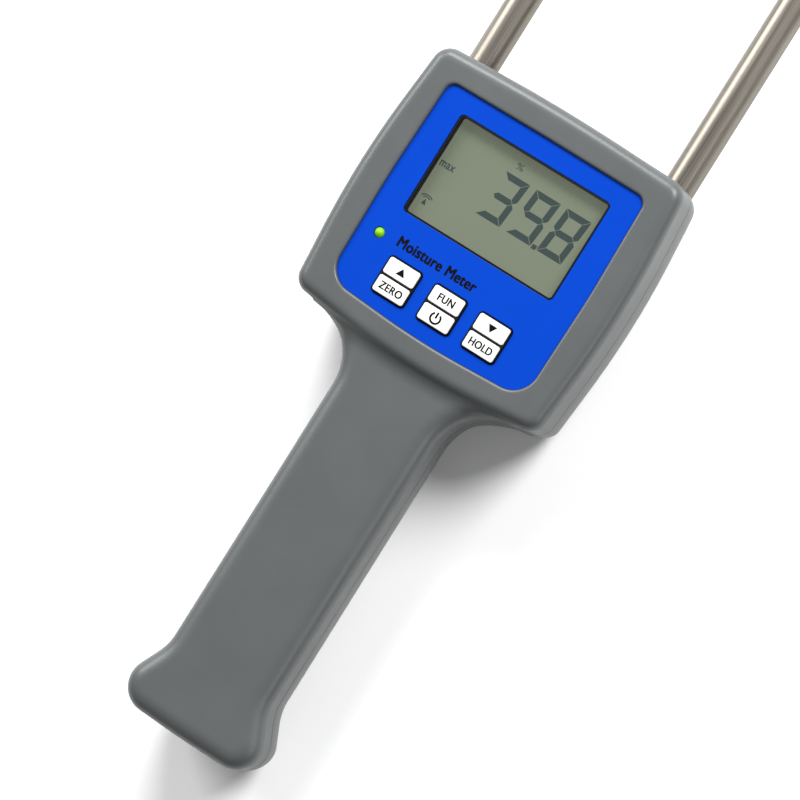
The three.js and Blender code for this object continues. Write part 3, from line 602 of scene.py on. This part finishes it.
def surface(
    name,
    color,
    roughness,
    metallic=0.0,
    mottle=0.05,
    mottle_size=14,
    grain=0.02,
    grain_size=0.45,
    stretch=(1, 1, 1),
    spread=0.06,
    wear=0.0,
    coat=0.0,
    glow=0.0,
    specular=0.5,
):
    """A moulded, drawn or printed surface: mottled colour, fine grain, uneven gloss, worn edges."""
    made, tree = nodes_of(name)
    broad = noise(tree, mottle_size, stretch=stretch)
    fine = noise(tree, grain_size, detail=2, stretch=stretch)
    tint = mixed(
        tree, ramp(tree, broad, 0.1, 0.9, 0, 1), shade(color, 1 - mottle), shade(color, 1 + mottle)
    )
    speckled = mixed(tree, ramp(tree, fine, 0.1, 0.9, 0, mottle * 2), tint, shade(color, 0.8))
    if wear:
        edge = linked(tree, "ShaderNodeNewGeometry").outputs["Pointiness"]
        worn = ramp(tree, edge, 0.515, 0.6, 0, wear)
        speckled = mixed(tree, worn, speckled, shade(color, 1.7))
    uneven = ramp(tree, broad, 0.1, 0.9, roughness - spread, roughness + spread)
    bump = linked(
        tree, "ShaderNodeBump", Height=fine, Strength=1.0, Distance=grain * MM
    ).outputs["Normal"]
    shader = linked(
        tree,
        "ShaderNodeBsdfPrincipled",
        Base_Color=speckled,
        Metallic=metallic,
        Roughness=uneven,
        Normal=bump,
        Coat_Weight=coat,
        Specular_IOR_Level=specular,
    )
    if glow:
        shader.inputs["Emission Color"].default_value = (*color, 1)
        shader.inputs["Emission Strength"].default_value = glow
    output = tree.nodes.new("ShaderNodeOutputMaterial")
    tree.links.new(shader.outputs["BSDF"], output.inputs["Surface"])
    return made


def clear_surface(name, tint, gloss_roughness):
    """A thin clear sheet: light passes straight through, and its face mirrors the room."""
    made, tree = nodes_of(name)
    smear = noise(tree, 9, detail=2)
    through = linked(tree, "ShaderNodeBsdfTransparent", Color=(*tint, 1)).outputs["BSDF"]
    gloss = linked(
        tree,
        "ShaderNodeBsdfGlossy",
        Color=(1, 1, 1, 1),
        Roughness=ramp(tree, smear, 0.3, 0.7, gloss_roughness, gloss_roughness * 2),
    ).outputs["BSDF"]
    facing = linked(tree, "ShaderNodeFresnel", IOR=1.49).outputs["Fac"]
    behind = linked(tree, "ShaderNodeNewGeometry").outputs["Backfacing"]
    front_only = ramp(tree, behind, 0, 1, 1, 0)
    factor = tree.nodes.new("ShaderNodeMath")
    factor.operation = "MULTIPLY"
    tree.links.new(facing, factor.inputs[0])
    tree.links.new(front_only, factor.inputs[1])
    mix = tree.nodes.new("ShaderNodeMixShader")
    tree.links.new(factor.outputs[0], mix.inputs[0])
    tree.links.new(through, mix.inputs[1])
    tree.links.new(gloss, mix.inputs[2])
    output = tree.nodes.new("ShaderNodeOutputMaterial")
    tree.links.new(mix.outputs["Shader"], output.inputs["Surface"])
    return made


LONG = (1, 60, 1)  # drawn tube: marks run along Y
M = {
    "case": surface(
        "case_plastic", (0.066, 0.071, 0.072), 0.38, grain=0.02, wear=0.15, specular=0.4
    ),
    "label": surface(
        "blue_label", (0.001, 0.034, 0.315), 0.42, mottle=0.02, grain=0.006, specular=0.04
    ),
    "rubber": surface(
        "black_rubber", (0.004, 0.004, 0.004), 0.7, mottle=0.1, grain=0.01, specular=0.12
    ),
    "ink": surface(
        "print_black", (0.002, 0.002, 0.003), 0.6, mottle=0.05, grain=0.002, specular=0.05
    ),
    "pad": surface("key_caps", (0.586, 0.586, 0.567), 0.35, mottle=0.015, grain=0.006),
    # The display glass gives off light of its own colour (glow): painted light that brightens the
    # display and softens the shade cast into its deep window, though a real display gives off none.
    "lcd": surface(
        "lcd_glass",
        (0.07, 0.078, 0.058),
        0.3,
        mottle=0.02,
        mottle_size=25,
        grain=0.001,
        glow=1.6,
        specular=0.1,
    ),
    # The segments glow faintly too: painted light, matching the glowing display glass behind them.
    "segment": surface(
        "lcd_segment",
        (0.024, 0.034, 0.034),
        0.4,
        mottle=0.02,
        grain=0.001,
        glow=0.4,
        specular=0.1,
    ),
    "window": clear_surface("clear_window", (0.97, 0.98, 0.97), 0.03),
    "led": surface(
        "green_lens", (0.14, 0.36, 0.006), 0.3, mottle=0.1, grain=0.002, glow=0.35, specular=0.3
    ),
    "steel": surface(
        "rod_steel",
        (0.225, 0.206, 0.176),
        0.4,
        metallic=1,
        mottle=0.6,
        mottle_size=0.7,
        grain=0.01,
        grain_size=0.25,
        stretch=LONG,
    ),
    "plated": surface(
        "plated_steel", (0.391, 0.378, 0.365), 0.3, 1, mottle=0.08, mottle_size=2, grain=0.008
    ),
    "brass": surface(
        "brass", (0.334, 0.214, 0.063), 0.32, 1, mottle=0.1, mottle_size=2, grain=0.008
    ),
    "board": surface(
        "circuit_board", (0.013, 0.082, 0.025), 0.38, mottle=0.15, mottle_size=3, coat=0.3
    ),
    "black": surface("black_plastic", (0.009, 0.010, 0.011), 0.42, mottle=0.1, wear=0.3),
    "white": surface("white_plastic", (0.435, 0.428, 0.403), 0.45, mottle=0.03),
    "can": surface(
        "cell_can", (0.032, 0.101, 0.050), 0.3, 0.3, mottle=0.08, mottle_size=6, grain=0.004
    ),
    "red_lead": surface("lead_red", (0.265, 0.006, 0.005), 0.4, mottle=0.08, mottle_size=2),
    "black_lead": surface("lead_black", (0.006, 0.006, 0.006), 0.4, mottle=0.1, mottle_size=2),
}


# ---- finishing a piece ----
def finish_piece(target, name, body, material, replaces=()):
    target.name = name
    target.data.name = name
    target.data.materials.clear()
    target.data.materials.append(M[material])
    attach(target, body)
    if replaces:
        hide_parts(*replaces)
    return target


# ---- case ----
def face_openings():
    """Tools that cut the window, the lamp hole and the three key openings."""
    z0, z1 = HEAD_CEILING_Z - 2, FACE_Z + 1
    w, levels = WINDOW, [(0, z0), (0, z1)]
    tools = [rounded_block(0, w["y"], w["width"], w["height"], w["corner"], levels)]
    tools.append(post(LED["x"], LED["y"], z0, z1, LED["hole"], 48))
    width, height = KEY["width"] + 2 * KEY_CLEARANCE, KEY["height"] + 2 * KEY_CLEARANCE
    for column in range(3):
        tools.append(rounded_block(key_x(column), KEY["y"], width, height, KEY["corner"], levels))
    return tools


def label_recess():
    """The space above the label, with its rim rounded over into the face."""
    rim = [(-FIT - LIP * (1 - math.cos(a)), FACE_Z - LIP * (1 - math.sin(a))) for a in quarter(5)]
    levels = [(-FIT, RECESS_Z), *rim, (-FIT - LIP, FACE_Z + 1)]
    return stack(LABEL_HALF, levels)


def posts(places, z0, z1, radius):
    return [post(x, y, z0, z1, radius) for x, y in mirrored(places)]


def slab(low_z, high_z):
    """A block that covers the whole case between two heights."""
    reach = 200
    return block((-reach, -reach, low_z), (reach, reach, high_z))


def front_shell(outer):
    top = HEAD_CEILING_Z + 1
    shell = cut(outer, slab(-FACE_Z, SEAM_Z))
    below = SEAM_Z - 1
    cut(shell, straight(HEAD_HALF, WALL, below, HEAD_CEILING_Z))
    cut(shell, straight(HANDLE_HALF, WALL, below, HANDLE_CEILING_Z))
    join(
        shell,
        *posts(CASE_SCREWS, SEAM_Z, top, CASE_BOSS["radius"]),
        *posts(BOARD_SCREWS, BOARD_BOSS["bottom"], top, BOARD_BOSS["radius"]),
    )
    cut(
        shell,
        *posts(CASE_SCREWS, below, CASE_BOSS["top"], CASE_BOSS["hole"]),
        *posts(BOARD_SCREWS, below, BOARD_BOSS["top"], BOARD_BOSS["hole"]),
    )
    cut(shell, label_recess())
    cut(shell, *face_openings())
    finish_piece(smooth(shell), "front_shell", "meter", "case", ["front_cover"])


def inner_rear():
    """The hollow of the rear cover, head and handle."""
    above = REAR_TOP_Z + 1
    head = (HEAD_BACK_EDGE[0], HEAD_BACK_EDGE[1] - WALL)
    body = (HANDLE_BACK_EDGE[0] - 1.5, HANDLE_BACK_EDGE[1] - WALL)
    hollow = stack(HEAD_HALF, [*back_levels(REAR_TOP_Z, head, WALL), (WALL, above)])
    return join(
        hollow, stack(HANDLE_HALF, [*back_levels(REAR_TOP_Z, body, WALL), (WALL, above)])
    )


def door_space(clearance):
    half, low = DOOR["half_width"] + clearance, BUTT_END - 5
    return block((-half, low, -1), (half, DOOR["top"] + clearance, DOOR["height"] + clearance))


def case_stack(inset, z0, z1):
    return join(straight(HEAD_HALF, inset, z0, z1), straight(HANDLE_HALF, inset, z0, z1))


def seam_tongue():
    """The rib round the inside of the seam that keeps the two covers in line."""
    z0, z1 = REAR_TOP_Z - TONGUE["depth"], SEAM_Z + TONGUE["rise"]
    outer, root_top = WALL + GAP, REAR_TOP_Z - TONGUE["root_drop"]
    ring = join(case_stack(outer, z0, z1), case_stack(WALL - TONGUE["root"], z0, root_top))
    cut(ring, case_stack(outer + TONGUE["thick"], z0 - 1, z1 + 1))
    return cut(ring, *posts(CASE_SCREWS, z0 - 1, z1 + 1, CASE_BOSS["radius"] + GAP))


def copy_of(target):
    made = target.copy()
    made.data = target.data.copy()
    bpy.context.scene.collection.objects.link(made)
    return made


def rod_hole(side, radius, y0, y1):
    return turned(rod_profile(radius, y0, y1), "Y", (side * ROD["x"], ROD["z"]), 48)


def rod_saddle(side):
    x, half = side * ROD["x"], ROD_SADDLE["half_width"]
    y0, y1 = ROD_SADDLE["from"], ROD_SADDLE["to"]
    wall = block((x - half, y0, ROD_SADDLE["bottom"]), (x + half, y1, ROD["z"]))
    return cut(wall, rod_hole(side, ROD["radius"] + GAP, y0 - 1, y1 + 1))


def bay_sheet(y, floor):
    """An end wall of the battery bay, narrower below the level of the door's top."""
    door_top, far = DOOR["height"] + 0.6, y + BAY_WALL["thick"]
    half, foot = BAY_WALL["half_width"], BAY_WALL["foot_half_width"]
    sheet = block((-half, y, door_top), (half, far, REAR_TOP_Z - 1))
    return join(sheet, block((-foot, y, floor), (foot, far, door_top + 0.4)))


def rear_shell(outer, inner):
    inside = [
        *posts(CASE_SCREWS, 0, REAR_TOP_Z, CASE_BOSS["radius"]),
        *(rod_saddle(side) for side in (-1, 1)),
        *(bay_sheet(y, floor) for y, floor in BAY_SHEETS),
    ]
    additions = combine(together(inside), copy_of(outer), "INTERSECT")
    shell = join(cut(copy_of(outer), inner), additions)
    join(shell, seam_tongue())
    cut(shell, *posts(CASE_SCREWS, -1, CASE_BOSS["seat"], CASE_BOSS["well"]))
    cut(shell, *posts(CASE_SCREWS, 0, REAR_TOP_Z + 1, CASE_BOSS["hole"]))
    past_top = HEAD_HALF[0][1] + 5
    cut(shell, *(rod_hole(side, BUSH["outer"] + FIT, BUSH["from"], past_top) for side in (-1, 1)))
    half, depth = WIRE_NOTCH["half_width"], WIRE_NOTCH["depth"]
    low = (-half, WIRE_NOTCH["from"], REAR_TOP_Z - depth)
    cut(shell, door_space(GAP), block(low, (half, WIRE_NOTCH["to"], REAR_TOP_Z + depth)))
    finish_piece(smooth(shell), "rear_shell", "meter", "case", ["rear_cover"])


def grip_groove(y):
    """A round bar across the door."""
    radius, half, sides = DOOR_GRIP["size"] / 2, DOOR_GRIP["width"] / 2, 16
    angles = [2 * math.pi * i / sides for i in range(sides)]
    ring = [(y + radius * math.cos(a), HANDLE_BACK_Z + radius * math.sin(a)) for a in angles]
    vertices = [(x, *p) for x in (-half, half) for p in ring]
    faces = [list(range(sides))[::-1], list(range(sides, 2 * sides))]
    for i in range(sides):
        j = (i + 1) % sides
        faces.append([i, j, sides + j, sides + i])
    return new_object("groove", vertices, faces)


def battery_door(outer, inner):
    skin = combine(cut(outer, inner), door_space(0), "INTERSECT")
    grooves = [
        grip_groove(DOOR_GRIP["first"] - k * DOOR_GRIP["pitch"]) for k in range(DOOR_GRIP["ridges"])
    ]
    cut(skin, *grooves)
    finish_piece(smooth(skin), "door_panel", "battery_door", "case", ["battery_door"])


def make_case():
    whole = case_surface()
    rear = cut(copy_of(whole), slab(REAR_TOP_Z, 2 * FACE_Z))
    front_shell(whole)
    inner = inner_rear()
    rear_shell(rear, copy_of(inner))
    battery_door(rear, inner)


# ---- lettering and figures ----
def printed(outlines, z, thick=INK["on_label"]):
    """Thin raised ink in the shape of closed outlines of (x, y) points, anticlockwise."""
    vertices, faces = [], []
    for outline in outlines:
        base, count = len(vertices), len(outline)
        vertices += [(x, y, z) for x, y in outline] + [(x, y, z + thick) for x, y in outline]
        faces.append([base + i for i in range(count)][::-1])
        faces.append([base + count + i for i in range(count)])
        for i in range(count):
            j = (i + 1) % count
            faces.append([base + i, base + j, base + count + j, base + count + i])
    return new_object("printed", vertices, faces)


def thickened(target, grow, axis):
    """The union of a flat shape with a copy of itself moved a little along an axis."""
    step = Vector((0, 0, 0))
    step[axis] = grow * MM
    twin = copy_of(target)
    twin.data.transform(Matrix.Translation(step / 2))
    target.data.transform(Matrix.Translation(-step / 2))
    return combine(target, twin, "UNION")


def lettering(text, centre, width, height, z, weight=0.0, thick=INK["on_label"]):
    """Words in a plain sans, fitted to a width and a height of capitals, in millimetres."""
    curve = bpy.data.curves.new("words", "FONT")
    curve.body = text
    curve.extrude = 0.5
    curve.resolution_u = 4
    curve.space_character = 1.06
    drawn = bpy.data.objects.new("words", curve)
    bpy.context.scene.collection.objects.link(drawn)
    bpy.context.view_layer.update()
    graph = bpy.context.evaluated_depsgraph_get()
    mesh = bpy.data.meshes.new_from_object(drawn.evaluated_get(graph))
    bpy.data.objects.remove(drawn)
    made = bpy.data.objects.new("words", mesh)
    bpy.context.scene.collection.objects.link(made)
    welded = bmesh.new()
    welded.from_mesh(mesh)
    bmesh.ops.remove_doubles(welded, verts=welded.verts, dist=1e-5)
    welded.to_mesh(mesh)
    welded.free()
    co = np.array([v.co for v in mesh.vertices])
    low, high = co.min(0), co.max(0)
    size = (np.array([width, height, thick]) - (weight, weight / 2, 0)) / (high - low)
    place = np.array([centre[0], centre[1], z + thick / 2])
    mesh.vertices.foreach_set("co", (((co - (low + high) / 2) * size + place) * MM).ravel())
    if weight:
        thickened(thickened(made, weight, 0), weight / 2, 1)
    return made


def segment_bars(width, height, stroke, gap):
    """The seven bars of a digit, by letter, as outlines from its lower left corner."""
    w, h, s, g = width, height, stroke, gap
    half, middle = s / 2, h / 2
    top = [(g, h), (s + g, h - s), (w - s - g, h - s), (w - g, h)]
    upper_left = [(0, h - g), (0, middle + half + g), (half, middle + g)]
    upper_left += [(s, middle + half + g), (s, h - s - g)]
    flip_x = [(w - x, y) for x, y in reversed(upper_left)]
    bar = [(half + g, middle), (s + g, middle - half), (w - s - g, middle - half)]
    bar += [(w - half - g, middle), (w - s - g, middle + half), (s + g, middle + half)]
    return {
        "a": top,
        "b": flip_x,
        "c": [(x, h - y) for x, y in reversed(flip_x)],
        "d": [(x, h - y) for x, y in reversed(top)],
        "e": [(x, h - y) for x, y in reversed(upper_left)],
        "f": upper_left,
        "g": bar,
    }


def slanted(points, x, y, slope):
    return [(x + px + py * slope, y + py) for px, py in points]


def lcd_figures():
    """The reading, its decimal point, the percent sign, the small word and the small signal mark."""
    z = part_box("lcd_front_glass")[1].z / MM
    slope = math.tan(math.radians(5))
    bars = segment_bars(7, 12.3, 1.6, 0.1)
    bottom = 3.2
    outlines = []
    for x, lit in ((-6.6, "abgcd"), (2.3, "abfgcd"), (11.1, "abcdefg")):
        outlines += [slanted(bars[letter], x, bottom, slope) for letter in lit]
    dot = 1.2
    outlines.append(slanted([(0, 0), (dot, 0), (dot, dot), (0, dot)], 9.6, bottom - 0.3, slope))
    finish_piece(printed(outlines, z), "lcd_reading", "meter", "segment")
    percent = lettering("%", (-3, 18), 1.9, 1.7, z)
    finish_piece(percent, "lcd_percent", "meter", "segment")
    word = lettering("max", (-18.6, 9.1), 4.1, 1.5, z, weight=0.08)
    finish_piece(word, "lcd_word", "meter", "segment")
    signal = printed(signal_mark(-18.8, -0.6), z)
    finish_piece(signal, "lcd_signal", "meter", "segment")


def signal_mark(x, y):
    """A small mast with two arcs over it."""
    outlines = [[(x - 0.6, y - 1.1), (x + 0.6, y - 1.1), (x, y + 0.4)]]
    for radius in (1.2, 1.9):
        spread = math.radians(60)
        angles = [math.pi / 2 - spread + 2 * spread * k / 12 for k in range(13)]
        outer = [(x + radius * math.cos(a), y + 0.2 + radius * 0.7 * math.sin(a)) for a in angles]
        within = radius - 0.35
        inner = [(x + within * math.cos(a), y + 0.2 + within * 0.7 * math.sin(a)) for a in angles]
        outlines.append(outer + inner[::-1])
    return outlines


# ---- face ----
def make_face():
    sheet = straight(LABEL_HALF, 0, LABEL_TOP_Z - LABEL_THICK, LABEL_TOP_Z)
    cut(sheet, *face_openings())
    finish_piece(smooth(sheet), "label_film", "meter", "label", ["face_label"])
    words = lettering("Moisture Meter", (-6.9, -12.1), 22.6, 2.8, LABEL_TOP_Z, weight=0.26)
    finish_piece(words, "label_words", "meter", "ink")

    w = WINDOW
    z0, z1 = HEAD_CEILING_Z - FIT, LABEL_TOP_Z - FIT
    gasket = rounded_block(
        0,
        w["y"],
        w["width"] - 2 * FIT,
        w["height"] - 2 * FIT,
        w["corner"],
        rounded_levels(z0, z1, 0.2),
    )
    shrink = 2 * GASKET_WALL + 2 * FIT
    hole = [(0, z0 - 1), (0, z1 + 1)]
    corner = w["corner"] / 2
    cut(gasket, rounded_block(0, w["y"], w["width"] - shrink, w["height"] - shrink, corner, hole))
    finish_piece(smooth(gasket), "gasket_frame", "meter", "rubber", ["window_gasket"])

    shrink = 2 * GASKET_WALL + 4 * FIT
    top = LABEL_TOP_Z - 2 * FIT
    levels = [(0, top - 1), (0, top - 0.1), (0.1, top)]
    pane = rounded_block(0, w["y"], w["width"] - shrink, w["height"] - shrink, corner, levels)
    finish_piece(smooth(pane), "window_pane", "meter", "window", ["display_window"])


def make_key(column):
    use, x, y = KEYS[column], key_x(column), KEY["y"]
    width, height, corner = KEY["width"], KEY["height"], KEY["corner"]
    cap_top = KEY["top"] - PAD["proud"]
    low, high = KEY_FLANGE["bottom"], KEY_FLANGE["top"]
    grow = 2 * KEY_FLANGE["grow"]
    cap = rounded_block(x, y, width, height, corner, rounded_levels(low, cap_top, 0.35))
    join(cap, rounded_block(x, y, width + grow, height + grow, corner, [(0, low), (0, high)]))
    stem = KEY_STEM
    join(cap, post(x, y, low - stem["below"], low + stem["overlap"], stem["radius"]))
    body = f"key_{use}"
    finish_piece(smooth(cap), f"{body}_cap", body, "rubber", [body])
    offset = (height - 2 * PAD["inset"] - PAD["height"]) / 2
    for place, side in (("lower", -1), ("upper", 1)):
        levels = rounded_levels(cap_top - 0.4, KEY["top"] - 0.03, 0.22, 4)
        pad = rounded_block(
            x, y + side * offset, width - 2 * PAD["inset"], PAD["height"], PAD["corner"], levels
        )
        finish_piece(smooth(pad), f"{body}_{place}_pad", body, "pad")
    for place, side in (("lower", -1), ("upper", 1)):
        legend = key_legend(use, place, x, y + side * offset, KEY["top"] - 0.03)
        finish_piece(legend, f"{body}_{place}_legend", body, "ink")


def key_legend(use, place, x, y, z):
    thick = INK["on_keys"]
    words = {"up_zero": "ZERO", "down_hold": "HOLD", "function_power": "FUN"}
    if (use == "function_power") == (place == "upper"):
        width = 4.6 if use == "function_power" else 6.4
        return lettering(words[use], (x, y), width, 1.95, z, weight=0.16, thick=thick)
    if use == "function_power":
        return printed(power_mark(x, y), z, thick)
    tip = 1 if use == "up_zero" else -1
    corners = [(x - 1.2, y - tip * 0.9), (x + 1.2, y - tip * 0.9), (x, y + tip * 1)]
    return printed([corners[::tip]], z, thick)


def power_mark(x, y):
    """A ring open at the top, with a bar standing in the opening."""
    radius, stroke = 1.55, 0.5
    gap = math.radians(35)
    angles = [math.pi / 2 + gap + (2 * math.pi - 2 * gap) * k / 40 for k in range(41)]
    centre = y - 0.1
    outer = [(x + radius * math.cos(a), centre + radius * math.sin(a)) for a in angles]
    within = radius - stroke
    inner = [(x + within * math.cos(a), centre + within * math.sin(a)) for a in angles]
    bar = [(x - stroke / 2, centre), (x + stroke / 2, centre)]
    bar += [(x + stroke / 2, centre + 1.6), (x - stroke / 2, centre + 1.6)]
    return [outer + inner[::-1], bar]


def make_lamp():
    low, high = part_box("status_led")
    base, bottom, top = LED_FLANGE_Z, low.z / MM, high.z / MM
    radius, flange = LED["radius"], LED["flange"]
    dome = [(radius * math.cos(a), top - radius + radius * math.sin(a)) for a in quarter(10)]
    dome[-1] = (0, top)
    profile = [(0, base), (flange, base), (flange, base + 1), (radius, base + 1)]
    lens = turned([*profile, *dome], "Z", (LED["x"], LED["y"]), 48)
    half = LED_LEG["half"]
    for side in (-1, 1):
        x, y = LED["x"] + side * LED_LEG["x"], LED["y"]
        join(lens, block((x - half, y - half, bottom), (x + half, y + half, base + 0.5)))
    finish_piece(smooth(lens), "lamp_lens", "meter", "led", ["status_led"])


# ---- probes ----
def tip_profile(base):
    """A cone with a ball nose, on a hollow spigot that fills the rod's end."""
    blunt, collar, pit = 0.7, 1, 3
    bore, spigot, spigot_length = 2.6, 3.5, 5
    slope = math.atan2(ROD["radius"] - blunt, ROD["cone"] - collar - blunt)
    nose = ROD["tip"] - blunt
    angles = [slope + (math.pi / 2 - slope) * k / 8 for k in range(8)]
    return [
        (0, base + pit),
        (bore, base),
        (bore, base - spigot_length),
        (spigot, base - spigot_length),
        (spigot, base),
        (ROD["radius"], base),
        (ROD["radius"], base + collar),
        *((blunt * math.cos(a), nose + blunt * math.sin(a)) for a in angles),
        (0, ROD["tip"]),
    ]


def make_probe(side, word):
    centre = (side * ROD["x"], ROD["z"])
    end = ROD["tip"] - ROD["cone"]
    soft = 0.15
    tube = [
        (ROD["bore"], ROD["inner"]),
        (ROD["radius"] - soft, ROD["inner"]),
        (ROD["radius"], ROD["inner"] + soft),
        (ROD["radius"], end - soft),
        (ROD["radius"] - soft, end),
        (ROD["bore"], end),
    ]
    rod = turned(tube, "Y", centre)
    finish_piece(smooth(rod), f"rod_{word}", "meter", "steel", [f"probe_rod_{word}"])
    tip = turned(tip_profile(end + FIT), "Y", centre)
    finish_piece(
        smooth(tip, 20), f"tip_{word}", "meter", "steel", [f"probe_tip_{word}"]
    )
    low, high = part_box(f"probe_bush_{word}")
    y0, y1, bore = low.y / MM, high.y / MM, ROD["radius"] + BUSH["clearance"]
    outer, bevel = BUSH["outer"], BUSH["bevel"]
    ring = [(bore, y0), (outer, y0), (outer, y1 - bevel), (outer - bevel, y1), (bore, y1)]
    bush = turned(ring, "Y", centre)
    finish_piece(
        smooth(bush), f"bush_{word}", "meter", "black", [f"probe_bush_{word}"]
    )


# ---- carried-over CAD nodes ----
CARRIED = [
    # Both display glass layers take the lcd colour, whose glow is painted light.
    ("lcd_front_glass", "lcd"),
    ("lcd_rear_glass", "lcd"),
    ("lcd_frame", "white"),
    ("elastomer_strip", "rubber"),
    ("plunger", "black"),
    ("switch", "black"),
    ("main_board", "board"),
    ("controller_chip", "black"),
    ("quartz_crystal", "plated"),
    ("buzzer", "black"),
    ("rod_end_plug", "brass"),
    ("solder_lug", "brass"),
    ("lug_screw", "plated"),
    ("probe_lead_left", "black_lead"),
    ("probe_lead_right", "red_lead"),
    ("battery_lead_left", "black_lead"),
    ("battery_lead_right", "red_lead"),
    ("cell", "can"),
    ("contact", "plated"),
    ("spring", "plated"),
    ("case_screw", "plated"),
    ("board_screw", "plated"),
]


WELD_REACH = 0.002 * MM


def dress_carried_nodes():
    """Gives each CAD node that stays its material, and joins its facets' coincident corners."""
    for name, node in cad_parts.items():
        for start, material in CARRIED:
            if name.startswith(start):
                node.data.materials.clear()
                node.data.materials.append(M[material])
                weld = node.modifiers.new("weld", "WELD")
                weld.merge_threshold = WELD_REACH
                break


# ---- room ----
LIGHT_DISTANCE = 1.4  # metres
LIGHTS = [  # name, azimuth and elevation in degrees, diameter in metres, strength
    ("key", 118, 34, 0.6, 1.2),
    ("left", 165, 33, 0.7, 0.85),
    ("right", 62, 40, 0.6, 1.3),
    ("rim", -6, 40, 0.5, 0.14),
]


def add_floor():
    reach, floor_z = 3000, -0.15  # the floor lies just clear of the meter's back
    corners = [(-reach, -reach), (reach, -reach), (reach, reach), (-reach, reach)]
    floor = new_object("floor", [(x, y, floor_z) for x, y in corners], [(0, 1, 2, 3)])
    floor.data.materials.append(
        surface(
            "pale_floor",
            (0.88, 0.88, 0.88),
            0.7,
            mottle=0.004,
            mottle_size=200,
            grain=0.0,
            specular=0.1,
        )
    )


def add_world():
    world = bpy.data.worlds.new("room")
    world.use_nodes = True
    background = world.node_tree.nodes["Background"]
    background.inputs["Color"].default_value = (1, 1, 1, 1)
    background.inputs["Strength"].default_value = 0.24
    bpy.context.scene.world = world


def add_light(name, azimuth, elevation, size, strength):
    """A round soft light that faces the meter."""
    light = bpy.data.lights.new(name, "AREA")
    light.shape = "DISK"
    light.size = size
    light.energy = strength * (math.pi * LIGHT_DISTANCE) ** 2
    lamp = bpy.data.objects.new(name, light)
    turn, rise = math.radians(azimuth), math.radians(elevation)
    level, height = math.cos(rise), math.sin(rise)
    away = Vector((math.cos(turn) * level, math.sin(turn) * level, height))
    lamp.location = Vector((0, -0.04, 0)) + away * LIGHT_DISTANCE
    lamp.rotation_euler = away.to_track_quat("Z", "Y").to_euler()
    bpy.context.scene.collection.objects.link(lamp)


def add_room():
    add_floor()
    add_world()
    for light in LIGHTS:
        add_light(*light)
    bpy.context.scene.view_settings.view_transform = "Standard"
    bpy.context.scene.view_settings.look = "None"


add_camera()
add_room()
make_case()
make_face()
for column in range(3):
    make_key(column)
lcd_figures()
make_lamp()
for side, word in ((-1, "left"), (1, "right")):
    make_probe(side, word)
dress_carried_nodes()
